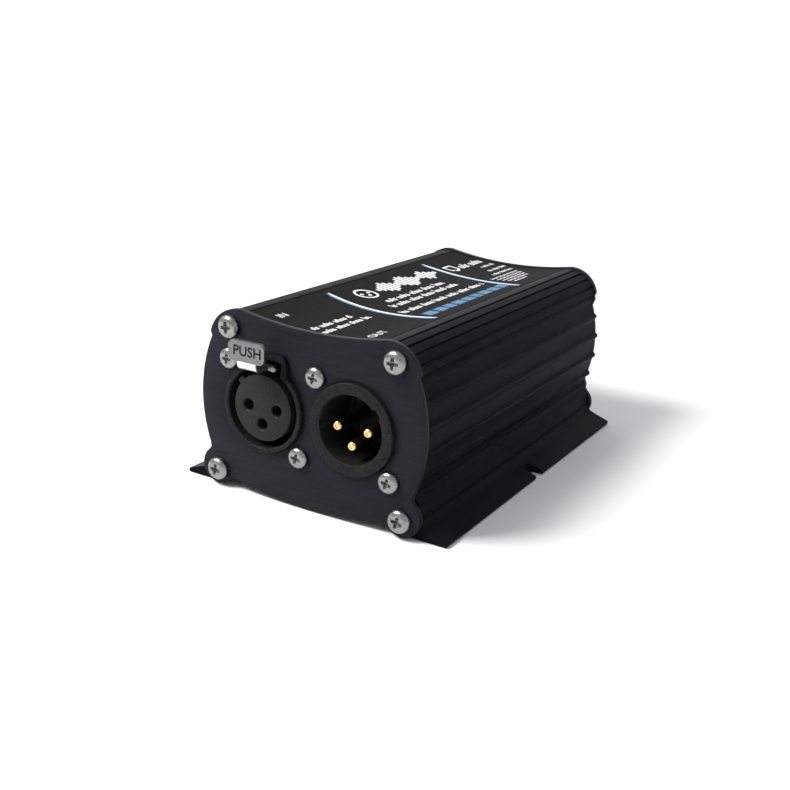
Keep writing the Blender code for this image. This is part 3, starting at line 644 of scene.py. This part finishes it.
def screw_mesh(name, head, height, shank, length):
    """A pan head screw along Z with a cross recess and turned thread rings. Its seat is at -CLEAR."""
    dome = [(0, 1.0), (0.25, 0.995), (0.45, 0.965), (0.62, 0.905), (0.76, 0.81), (0.87, 0.67), (0.95, 0.49),
            (0.99, 0.28), (1.0, 0.1)]
    profile = [(r * head, z * height) for r, z in dome]
    edge, fillet, pitch, depth, plain, point, run_out = 0.12, 0.25, 0.5, 0.22, 1.0, 0.7, 0.8
    seat = -CLEAR
    profile += [(head, seat + edge), (head - edge, seat), (shank + fillet, seat), (shank, seat - fillet)]
    level = seat - plain
    while level - pitch > -length + run_out:
        profile += [(shank, level), (shank - depth, level - pitch / 2), (shank, level - pitch)]
        level -= pitch
    profile += [(shank - 0.1, -length + point), (shank * 0.5, -length), (0, -length)]
    distinct = [p for i, p in enumerate(profile) if i == 0 or p != profile[i - 1]]
    cross = cross_cutter(reach=0.56 * head, width=0.13 * head, top=height + 0.4, bottom=0.25 * height)
    return shaded(cut(turned(name, distinct, 48), cross), 38)


def make_screws():
    """The screws of one size share a mesh, with the cross at a different turn on each."""
    patterns = {}
    for name, (node, height, shank, length) in SCREWS.items():
        low, high = box_of(node)
        head = (high.z - low.z) / 2
        patterns[name] = screw_mesh(f"{name}_screw_pattern", head, height, shank, length), head
    rows = [("front_corner_screw", "corner", 4, -1), ("rear_corner_screw", "corner", 4, 1)]
    rows += [("female_screw", "panel", 2, -1), ("male_screw", "panel", 2, -1)]
    for row, (name, size, count, outward) in enumerate(rows):
        pattern, head = patterns[size]
        _, height, _, length = SCREWS[size]
        for number in range(1, count + 1):
            node = f"{name}_{number}"
            low, high = box_of(node)
            seat = high.y - length if outward < 0 else low.y + length
            at = Vector(((low.x + high.x) / 2, seat, (low.z + high.z) / 2))
            screw = link(node + "_fine", pattern.data)
            spin = radians(outward * (7 * number + 5 * row - 14))
            screw.matrix_world = (
                Matrix.Translation(at * MM)
                @ Matrix.Rotation(-outward * pi / 2, 4, "X")
                @ Matrix.Rotation(spin, 4, "Z")
            )
            dress(screw, NICKEL, "nickel", node)

        def in_shaded_cross(at):
            return 0 < at.z < 0.9 * height and hypot(at.x, at.y) < 0.62 * head

        # The faces of the cross recess get painted shade, a darker nickel
        regrained(screw, RECESS_PAINTED_SHADE, in_shaded_cross)
    for pattern, _ in patterns.values():
        bpy.data.objects.remove(pattern)


# --- Label


def make_label():
    steps = [LABEL_HALF * i / 24 for i in range(-24, 25)]
    upper = [(x, dish(x)) for x in steps]
    lower = [(x, z - 0.3) for x, z in reversed(upper)]
    film = outlined("label_film", [upper + lower], LABEL_LOW.y, LABEL_HIGH.y)
    dress(shaded(film), LABEL_FILM, "label_print", "top_label")


class Print:
    """Flat printed shapes gathered into one thin mesh that follows the label's dish."""

    def __init__(self, name, material, lift=0.02):
        self.name, self.material, self.lift = name, material, lift
        self.bm = bmesh.new()

    def polygon(self, points):
        """One (x, y) outline, in millimetres."""
        self.bm.faces.new([self.bm.verts.new((x, y, 0.0)) for x, y in points])

    def strip(self, sections, closed=False):
        """Faces between pairs of points, which share their corners."""
        pairs = [[self.bm.verts.new((x, y, 0.0)) for x, y in section] for section in sections]
        for a, b in zip(pairs, pairs[1:] + pairs[:1] if closed else pairs[1:]):
            self.bm.faces.new((a[0], b[0], b[1], a[1]))

    def bar(self, x0, x1, y0, y1):
        """A rectangle, split along x so that it can follow the dish."""
        count = max(1, round(abs(x1 - x0) / 2.0))
        self.strip([[(x0 + (x1 - x0) * i / count, y) for y in (y0, y1)] for i in range(count + 1)])

    def band(self, centre, half, x0, x1):
        """A stripe across the label, with tapered ends, whose middle line is y = centre(x)."""
        count = 36
        sections = []
        for i in range(count + 1):
            x = x0 + (x1 - x0) * i / count
            wide = half * min(1.0, 0.35 + (x - x0) / 3, 0.35 + (x1 - x) / 3)
            sections.append([(x, centre(x) - wide), (x, centre(x) + wide)])
        self.strip(sections)

    def ring(self, at, outer, inner):
        self.strip(list(zip(circle(at, inner, 40), circle(at, outer, 40))), closed=True)

    def dot(self, at, radius):
        self.polygon(circle(at, radius, 24))

    def strokes(self, x, y0, y1, height, seed):
        """A row of short strokes in word-length groups, which stands in for a line of small print."""
        y, index = y0, seed
        thick, low, raised, foot_thick, space = (height * share for share in (0.20, 0.68, 0.56, 0.13, 0.45))
        while y < y1:
            index += 1
            tall = height if index * 7 % 5 == 0 else low
            self.bar(x - tall, x, y, y + thick)
            if index * 11 % 4 != 0:
                foot = x - (0.0 if index % 2 else raised)
                self.bar(foot - foot_thick, foot, y + thick + 0.01, y + 2 * thick - 0.01)
            y += 2 * thick
            if index * 13 % 6 == 0:
                y += space

    def word(self, text, x, y, size):
        """Plain capitals that read towards the rear, with their feet at x."""
        curve = bpy.data.curves.new(text, "FONT")
        curve.body = text
        curve.size = size
        curve.resolution_u = 4
        mesh = evaluated(link(text, curve))
        mesh.transform(Matrix.Translation((x, y, 0.0)) @ Matrix.Rotation(pi / 2, 4, "Z"))
        self.bm.from_mesh(mesh)
        bmesh.ops.remove_doubles(self.bm, verts=self.bm.verts[-len(mesh.vertices):], dist=1e-5)
        bpy.data.meshes.remove(mesh)

    def done(self, thickness=0.02):
        """Wraps the shapes on the dish and gives them the ink's thickness."""
        bm = self.bm
        for face in bm.faces:
            face.normal_update()
            if face.normal.z < 0:
                face.normal_flip()
        made = bmesh.ops.extrude_face_region(bm, geom=bm.faces[:])
        top = {item for item in made["geom"] if isinstance(item, bmesh.types.BMVert)}
        for vert in bm.verts:
            lift = self.lift + (0.0 if vert in top else -thickness)
            vert.co = Vector((vert.co.x, vert.co.y, dish(vert.co.x) + lift)) * MM
        dress(meshed(self.name, bm), self.material, "label_print")


def front_line(x):
    return -22.3 - 0.10 * x + 0.004 * (x - 2) ** 2


def rear_line(x):
    return 28.4 - 0.17 * x - 0.004 * x**2


def make_print():
    """White and blue print: two curved lines, plain signs, rows of strokes and two generic words."""
    left, right = -16.4, 17.2
    white = Print("label_white_print", WHITE_INK)
    for line in (front_line, rear_line):
        white.band(lambda x: line(x) + 0.35, 0.42, left, right)
    # a three-contact connector sign, then a level trace, in place of a mark and a name
    sign_x, sign_y = -10.4, -10.2
    white.ring((sign_x, sign_y), 3.4, 2.75)
    for dx, dy in ((-0.3, -1.5), (-0.3, 1.5), (1.2, 0.0)):
        white.dot((sign_x + dx, sign_y + dy), 0.55)
    trace = [1.2, 2.6, 4.4, 6.2, 5.0, 3.2, 1.8, 3.0, 5.2, 6.6]
    trace += [6.0, 4.0, 2.4, 1.4, 2.2, 4.6, 5.8, 3.6, 2.0, 1.2]
    middle, pitch, width, reach = -10.3, 1.6, 1.02, 0.6
    for index, height in enumerate(trace):
        y = -4.6 + index * pitch
        white.bar(middle - height * reach, middle + height * reach, y, y + width)
    # rows of strokes: first in the middle and at the front, then the smaller ones at the rear
    for x, y0, y1, height, seed in (
        (-2.1, -12.0, 17.0, 2.3, 1), (1.6, -15.6, 19.0, 2.3, 4), (7.0, -20.0, 23.6, 2.3, 9),
        (-1.0, -47.0, -30.8, 2.0, 3), (2.6, -47.8, -29.0, 2.0, 6),
    ):
        white.strokes(x, y0, y1, height, seed)
    for row, (x, y0, y1) in enumerate(
        ((-7.2, 39.0, 52.5), (-3.6, 44.7, 52.6), (0.2, 41.9, 52.6), (3.6, 37.3, 49.6),
         (6.2, 31.0, 48.0), (7.9, 31.0, 47.0), (9.6, 31.0, 45.6), (11.3, 31.0, 43.8), (13.0, 31.5, 39.5))
    ):
        height = 3.0 if row == 0 else 1.5 if row < 4 else 0.95
        white.strokes(x, y0, y1, height, 2 + 3 * row)
    # a socket outline with its latch step, beside the longer row at the rear
    for x0, x1, y0, y1 in ((-11.4, -10.8, 33.0, 37.4), (-11.4, -7.4, 33.0, 33.6), (-11.4, -7.4, 36.8, 37.4),
                           (-8.0, -7.4, 33.0, 34.5), (-8.0, -7.4, 35.9, 37.4), (-7.4, -6.6, 34.3, 36.1)):
        white.bar(x0, x1, y0, y1)
    for text, x, y in (("IN", -11.6, -45.2), ("OUT", 14.2, -46.6)):
        white.word(text, x, y, size=3.2)
    white.done()

    blue = Print("label_blue_print", BLUE_INK, lift=0.015)
    for line in (front_line, rear_line):
        blue.band(lambda x: line(x) - 0.45, 0.5, left, right)
    y, foot, top, slant, space = -20.2, 14.3, 10.9, 0.9, 0.95
    for index in range(9):
        length = 4.6 - 0.55 * (index % 3)
        blue.polygon([(foot, y), (foot, y + length), (top, y + length + slant), (top, y + slant)])
        y += length + space
    blue.done(0.015)


# --- Connectors


def shell_profile(bore, back_bore):
    """Half-section of a connector shell: its open cup, rounded lip and narrower back."""
    lip = 0.32
    behind = -(PLATE + CLEAR) - 1.0
    inner = arc((bore + lip, RING_PROUD - lip), lip, 180, 90, 4)
    outer = arc((RING_RADIUS - lip, RING_PROUD - lip), lip, 90, 0, 4)
    points = inner + outer + [(RING_RADIUS, behind), (SHELL_OUTER, behind - 0.2), (SHELL_OUTER, -SHELL_DEPTH)]
    return points + [(back_bore, -SHELL_DEPTH), (back_bore, -CUP_DEPTH), (bore, -CUP_DEPTH), inner[0]]


def panel_flange(x, hole_radius, high):
    """The square flange that holds a connector behind the plate, with its corners cut off."""
    cut_off, half, thick = 1.6, 11.85, 2.5
    low = AXIS_Z - 12.6
    inner = half - cut_off
    square = [(x - inner, low), (x + inner, low), (x + half, low + cut_off), (x + half, high - cut_off),
              (x + inner, high), (x - inner, high), (x - half, high - cut_off), (x - half, low + cut_off)]
    screws = [circle(point, CONNECTOR_HOLE, 20) for point in connector_points(x)]
    start = FRONT + PLATE + CLEAR
    hole = circle((x, AXIS_Z), hole_radius, 96)
    return outlined("flange", [square, hole, *screws], start, start + thick)


def make_female():
    """The shell with its hood and flange, then the insert with three holes and a key."""
    at = (FEMALE_X, FRONT, AXIS_Z)
    shell = turned("female_cup", shell_profile(FEMALE_BORE, CORE_RADIUS + CLEAR), 96, at, "front")
    half = [(6.8, 7.5), (6.8, 11.3), (6.55, 11.9), (5.9, 13.0), (5.4, 13.3)]
    shape = [(FEMALE_X + x, AXIS_Z + z) for x, z in mirrored(half)]
    hood = outlined("hood", [shape], FRONT - RING_PROUD + 0.05, FRONT + 13.0)
    wide = FEMALE_BORE + 0.03
    bore = turned("bore", [(0, 5), (wide, 5), (wide, -14), (0, -14)], 96, at, "front")
    shell = joined(shell, panel_flange(FEMALE_X, FEMALE_BORE + 0.4, 36.9), cut(hood, bore))
    reach, top = 5.2, 34.9
    shell = cut(shell, slab("opening", (FEMALE_X - reach, FRONT - 5, AXIS_Z + 5),
                            (FEMALE_X + reach, FRONT + 11.5, top)))
    shell = dress(softened(shell, 0.14, 50), SHELL_GRAIN, "shell_plastic", "female_shell")
    # The hood's faces get painted shade, a darker copy of the shell plastic with a finer grain
    regrained(shell, HOOD_SHADE_GRAIN, lambda at: at.z > AXIS_Z + 7.6 and abs(at.x - FEMALE_X) > 5.0)

    face = [(0, 1.0), (CORE_RADIUS - 0.3, 1.0), (CORE_RADIUS - 0.1, 0.92), (CORE_RADIUS, 0.7)]
    insert = turned("female_core", face + [(CORE_RADIUS, -SHELL_DEPTH), (0, -SHELL_DEPTH)], 96, at, "front")
    key = slab("key", (-0.9, FRONT - 0.7, CORE_RADIUS - 0.7), (0.9, FRONT + 9, CORE_RADIUS + 0.9))
    key.data.transform(round_axis(FEMALE_X, 48))
    insert = joined(insert, key)
    for number, (x, z) in enumerate(contact_points(FEMALE_X), 1):
        hole = [(0, 3), (SOCKET_RADIUS + 2.2, 3), (SOCKET_RADIUS, 0.75), (SOCKET_RADIUS, -SHELL_DEPTH - 2)]
        insert = cut(insert, turned("hole", hole + [(0, -SHELL_DEPTH - 2)], 36, (x, FRONT, z), "front"))
        make_socket(number, x, z)
    dress(softened(insert, 0.1, 50), INSERT_SATIN, "insert_plastic", "female_insert")


def make_socket(number, x, z):
    """A gold socket: a slit tube at the front, a solid lead behind that bends down to the board."""
    node = f"female_contact_{number}"
    low, high = box_of(node)
    radius = SOCKET_RADIUS - CLEAR
    nose = [(0, 8.5), (0.7, 8.3), (0.7, 1.6), (0.95, 0.0), (radius - 0.05, 0.0), (radius, 0.08)]
    contact = lead(f"female_socket_{number}", x, z, low.y, nose, radius, high.y - radius, low.z)
    slit = slab("slit", (x - 0.14, low.y - 1, z - 2), (x + 0.14, low.y + 5, z + 2))
    dress(shaded(cut(contact, slit), 40), GOLD, "gold", node)


def make_male():
    """The shell with its key notch and grooves, then the floor of its cup, which holds the pins."""
    at = (MALE.x, FRONT, AXIS_Z)
    shell = turned("male_cup", shell_profile(MALE_BORE, MALE_BORE - 0.6), 96, at, "front")
    shell = joined(shell, panel_flange(MALE.x, MALE_BORE + 1.0, 35.5))
    notch = slab("notch", (-1.2, FRONT - 3, MALE_BORE - 1), (1.2, FRONT + 6, MALE_BORE + 0.7))
    notch.data.transform(round_axis(MALE.x, -52))
    shell = cut(shell, notch)
    half, depth = 0.75, 0.5
    for angle in (152, 168):
        groove = slab("groove", (-half, FRONT + 2.6, MALE_BORE - 1),
                      (half, FRONT + CUP_DEPTH + 1, MALE_BORE + depth))
        groove.data.transform(round_axis(MALE.x, -angle))
        shell = cut(shell, groove)
    dress(softened(shell, 0.12, 50), SHELL_GRAIN, "shell_plastic", "male_shell")

    radius, face = MALE_BORE - 0.6 - CLEAR / 3, -CUP_DEPTH - 0.4
    profile = [(0, face), (radius - 0.2, face), (radius, face - 0.2)]
    profile += [(radius, -SHELL_DEPTH), (0, -SHELL_DEPTH)]
    insert = turned("male_core", profile, 80, at, "front")
    wide = PIN_RADIUS + 0.08
    hole = [(0, 0), (wide, 0), (wide, -SHELL_DEPTH - 2), (0, -SHELL_DEPTH - 2)]
    for number, (x, z) in enumerate(contact_points(MALE.x), 1):
        insert = cut(insert, turned("hole", hole, 36, (x, FRONT, z), "front"))
        make_pin(number, x, z)
    dress(softened(insert, 0.1, 50), INSERT_SATIN, "insert_plastic", "male_insert")


def make_pin(number, x, z):
    """A gold pin with a rounded nose that has a small turned dimple."""
    node = f"male_pin_{number}"
    low, high = box_of(node)
    nose = [(0, 0.42), (0.3, 0.34), (0.44, 0.04), (0.6, 0.0), (0.84, 0.10), (1.06, 0.34), (1.17, 0.66)]
    nose.append((PIN_RADIUS, 1.0))
    bright = 1.5
    pin = lead(f"male_pin_{number}_fine", x, z, low.y, nose, PIN_RADIUS, high.y - PIN_RADIUS, low.z)
    dress(shaded(pin, 40), GOLD, "gold", node)
    # Painted shade: behind its bright tip, the pin's shaft gets a dark gold
    regrained(pin, SHADED_GOLD, lambda at: at.y > low.y + bright)


# --- Latch


def make_latch():
    """The stamped latch: a pressed tab with folded rims, the neck that bends into the arm, hook and ears."""
    low, high = box_of("release_latch")
    tab_half, tab_low, tab_high, face = (high.x - low.x) / 2, 35.4, high.z, low.y
    arm_half, arm_z, sheet, thick = 2.6, 33.4, 0.6, 0.9
    tab_middle = (tab_low + tab_high) / 2

    def rounded(inset, radius):
        """The tab's round-cornered outline, drawn in by the inset."""
        left, right = FEMALE_X - tab_half + inset + radius, FEMALE_X + tab_half - inset - radius
        bottom, top = tab_low + inset + radius, tab_high - inset - radius
        points = []
        for turn, centre in enumerate(((right, top), (left, top), (left, bottom), (right, bottom))):
            points += arc(centre, radius, 90 * turn, 90 * turn + 90, 7)
        return points

    tab = outlined("latch_sheet", [rounded(0.0, 1.45)], face, face + thick)
    tab = cut(tab, outlined("pressing", [rounded(0.34, 1.1)], face - 1, face + 0.05))
    start, end = face + 0.3, face + 2.1
    rim = tab_half - 1.2
    hem = [(start, tab_high - 0.1), *arc((end - 0.5, tab_high - 0.6), 0.5, 90, 0, 5)]
    hem += [(end, tab_high - 0.8), (start, tab_high - 0.75)]
    rims = [side_solid("top_rim", hem, FEMALE_X - rim, FEMALE_X + rim)]
    fold, down = 0.8, 1.3
    side = arc((end - fold, tab_high - down - fold), fold, 90, 0, 5)
    side += arc((end - fold, tab_low + down + fold), fold, 0, -90, 5)
    side += [(start, tab_low + down), (start, tab_high - down)]
    for edge in (FEMALE_X - tab_half + 0.04, FEMALE_X + tab_half - 0.64):
        rims.append(side_solid("side_rim", side, edge, edge + 0.6))
    bend = 1.6
    corner = (face + thick / 2 + bend, arm_z + bend)
    line = [(corner[0] - bend, tab_low + 1.2), *arc(corner, bend, 180, 270, 10), (FRONT + 8.0, arm_z)]
    arm = side_strip("arm", line, sheet / 2, FEMALE_X - arm_half, FEMALE_X + arm_half)
    barb = [(FRONT + y, arm_z - drop) for y, drop in ((2.4, 0), (5.4, 0), (5.0, 1.4), (4.3, 1.4))]
    hook = side_solid("hook", barb, FEMALE_X - arm_half + 0.8, FEMALE_X + arm_half - 0.8)
    tongue = [(2.4, -0.28), (4.2, -0.62), (4.95, 0.15), (4.0, 0.8), (2.4, 0.28)]
    ears = [outlined("ear", [[(FEMALE_X + side * x, arm_z + z) for x, z in tongue]], FRONT - 2.6, FRONT - 1.9)
            for side in (-1, 1)]
    latch = joined(tab, *rims, arm, hook, *ears)
    latch = dress(softened(latch, 0.09, 45, 3), TAB_NICKEL, "nickel", "release_latch", body="latch")
    neck_rear = low.y + 1.1

    def in_arm(at):
        return abs(at.x - FEMALE_X) < arm_half + 0.01 and at.z < tab_low

    # Painted highlight on the front faces of the neck, and painted shade on the arm behind the neck
    regrained(latch, NECK_PAINTED_HIGHLIGHT, lambda at: in_arm(at) and at.y < neck_rear)
    regrained(latch, SHADED_STEEL, lambda at: in_arm(at) and at.y >= neck_rear)

    legend = bpy.data.curves.new("tab_legend", "FONT")
    legend.body = "PUSH"
    legend.size = 3.3 * MM
    legend.extrude = 0.02 * MM
    legend.offset = 0.055 * MM
    legend.space_character = 1.02
    legend.align_x = "CENTER"
    legend.align_y = "CENTER"
    source = link("tab_legend", legend)
    source.rotation_euler = (pi / 2, 0.0, 0.0)
    source.location = Vector((FEMALE_X + 0.3, face + 0.05, tab_middle + 0.05)) * MM
    dress(baked(source, "tab_legend"), LEGEND_INK, "nickel", body="latch")


def side_solid(name, outline, left, right):
    """A helper solid from (y, z) points, from one x to another."""
    made = outlined(name, [outline], -right, -left)
    made.data.transform(Matrix.Rotation(pi / 2, 4, "Z"))
    return made


def side_strip(name, path, half, left, right):
    """A strip of bent sheet whose middle line is the (y, z) path."""
    sides = ([], [])
    for index, (y, z) in enumerate(path):
        before, after = path[max(index - 1, 0)], path[min(index + 1, len(path) - 1)]
        dy, dz = after[0] - before[0], after[1] - before[1]
        size = hypot(dy, dz)
        for sign, side in zip((1, -1), sides):
            side.append((y - sign * half * dz / size, z + sign * half * dy / size))
    return side_solid(name, sides[0] + sides[1][::-1], left, right)


def make_spring():
    """The latch's coil spring, one fixed coil that fills its CAD node's box; the real spring shortens as the
    latch is pushed.
    """
    low, high = box_of("latch_spring")
    wire = 0.18
    start, end = low.y + wire, high.y - wire
    centre_z, radius = (low.z + high.z) / 2, (high.z - low.z) / 2 - wire
    turns, count = 3.5, 112
    points = []
    for step in range(count + 1):
        angle = 2 * pi * turns * step / count
        y = start + (end - start) * step / count
        points.append((FEMALE_X + radius * cos(angle), y, centre_z + radius * sin(angle)))
    curve = drawn("latch_coil", "3D", [points], False)
    curve.bevel_depth = wire * MM
    curve.bevel_resolution = 3
    curve.use_fill_caps = True
    coil = shaded(baked(link("latch_coil", curve), "latch_coil"), 50)
    spring = dress(coil, SPRING, "spring_steel", "latch_spring")
    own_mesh(spring)


# --- Rear socket, lights and inner parts


def make_jack():
    """The network socket: its metal shield, moulded body and comb of contacts."""
    low, high = JACK_LOW, JACK_HIGH
    wall = 0.35
    outer = [(low.x, low.z), (low.x, high.z), (high.x, high.z), (high.x, low.z)]
    inner = [(high.x - wall, low.z), (high.x - wall, high.z - wall), (low.x + wall, high.z - wall)]
    shield = outlined("jack_cover", [outer + inner + [(low.x + wall, low.z)]], low.y, high.y)
    for side in (low.x, high.x):
        for below, above in ((4.4, 4.8), (7.6, 8.0)):
            corners = (side - 1, high.y - 6.0, low.z + below), (side + 1, high.y - 2.2, low.z + above)
            shield = cut(shield, slab("spring_slit", *corners))
    dress(softened(shield, 0.1, 50), TIN, "nickel", "jack_shield")

    body = slab("jack_body", *box_of("jack_housing"))
    seat = low.z
    mouth = [(-5.95, seat + 2.6), (5.95, seat + 2.6), (5.95, seat + 9.6), (-5.95, seat + 9.6)]
    step = [(-3.1, seat + 1.2), (3.1, seat + 1.2), (3.1, seat + 3.0), (-3.1, seat + 3.0)]
    for outline in (mouth, step):
        body = cut(body, outlined("cutter", [outline], high.y - 13.5, high.y + 3))
    dress(softened(body, 0.16, 50), SHELL_GRAIN, "shell_plastic", "jack_housing")

    c_low, c_high = box_of("jack_contacts")
    comb = slab("jack_wires", (c_low.x, c_low.y, c_low.z), (c_high.x, c_low.y + 1.3, c_high.z))
    pitch, half_width, half_thick = 1.02, 0.2, 0.13
    line = [(c_low.y + 0.8, c_low.z + 0.35), (c_high.y - 1.6, c_low.z + 0.35), (c_high.y, c_high.z - 0.1)]
    for number in range(8):
        x = (number - 3.5) * pitch
        comb = joined(comb, side_strip("wire", line, half_thick, x - half_width, x + half_width))
    dress(softened(comb, 0.05, 50), GOLD, "gold", "jack_contacts")


def make_lights():
    for side in ("left", "right"):
        node = f"light_lens_{side}"
        low, high = box_of(node)
        at = ((low.x + high.x) / 2, high.y, (low.z + high.z) / 2)
        radius = (high.x - low.x) / 2
        turns = [radians(9 * i) for i in range(11)]
        dome = [(radius * sin(t), -0.95 * (1 - cos(t))) for t in turns]
        depth = -(high.y - low.y)
        foot = [(radius, depth + 0.2), (radius - 0.2, depth), (0, depth)]
        lens = turned(f"light_pipe_{side}", dome + foot, 40, at, "rear")
        dress(shaded(lens, 40), LENS, "light_lens", node)


def finish_inner_parts():
    """CAD nodes whose shape is right keep it and get the fine materials."""
    for material, *nodes in (
        (BOARD_MASK, "main_board"), (TIN, "crystal"), (SLEEVE, "capacitor_1", "capacitor_2", "capacitor_3"),
        (EPOXY, "network_processor", "memory_chip", "audio_transceiver", "power_controller"),
        (EPOXY, "light_lamp_left", "light_lamp_right"),
        (FERRITE, "isolation_transformer_1", "isolation_transformer_2", "network_transformer"),
        (FERRITE, "power_transformer", "power_inductor"),
    ):
        for node in nodes:
            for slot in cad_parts[node].material_slots:
                slot.material = material


# --- Stage


def make_floor():
    """A pale floor that sweeps up all round into a plain backdrop."""
    flat, sweep, high = 900.0, 500.0, 1500.0
    profile = [(0, 0), (flat * 0.5, 0), *arc((flat, sweep), sweep, -90, 0, 14), (flat + sweep, high)]
    floor = turned("studio_floor", profile, 64, (0, 0, -0.2))
    finish = Surface("studio_paper", specular=0.1)
    finish.colour(finish.noise(60.0, detail=3.0), (0.86, 0.86, 0.86), (0.89, 0.89, 0.89))
    finish.roughness(finish.noise(20.0), 0.8, 0.9)
    floor.data.materials.append(finish.material)
    shaded(floor, 60)


def area_light(name, place, target, size, power):
    """A rectangular light at a place, turned to its target; both are in metres."""
    light = bpy.data.lights.new(name, "AREA")
    light.shape = "RECTANGLE"
    light.size, light.size_y = size
    light.energy = power
    made = link(name, light)
    made.location = place
    made.rotation_euler = (Vector(target) - Vector(place)).to_track_quat("-Z", "Y").to_euler()


def make_lights_and_world():
    world = bpy.data.worlds.new("studio")
    world.use_nodes = True
    background = world.node_tree.nodes["Background"]
    background.inputs["Color"].default_value = (0.97, 0.98, 1.0, 1.0)
    background.inputs["Strength"].default_value = 0.5
    bpy.context.scene.world = world
    area_light("key", (-0.40, -0.40, 0.62), (0, 0, 0.02), (0.30, 0.30), 9.5)
    area_light("backdrop", (-0.5, 0.65, 1.0), (-1.0, 1.4, 0.3), (0.7, 0.4), 7.0)


def make_camera():
    """The camera looks from the front right, a little above, and leans slightly."""
    place = Vector((132.7, -245.25, 107.0)) * MM
    azimuth, elevation, lean = (radians(angle) for angle in (29.49, 18.25, 3.10))
    camera = bpy.data.cameras.new("camera")
    camera.sensor_width = 36.0
    camera.lens = 49.66
    camera.clip_start, camera.clip_end = 0.01, 20.0
    made = link("camera", camera)
    made.matrix_world = (
        Matrix.Translation(place) @ Matrix.Rotation(azimuth, 4, "Z")
        @ Matrix.Rotation(pi / 2 - elevation, 4, "X") @ Matrix.Rotation(lean, 4, "Z")
    )
    bpy.context.scene.camera = made


make_camera()
make_lights_and_world()
make_floor()
make_case()
make_plates()
make_screws()
make_label()
make_print()
make_female()
make_male()
make_latch()
make_spring()
make_jack()
make_lights()
finish_inner_parts()
bpy.context.scene.view_settings.view_transform = "Standard"
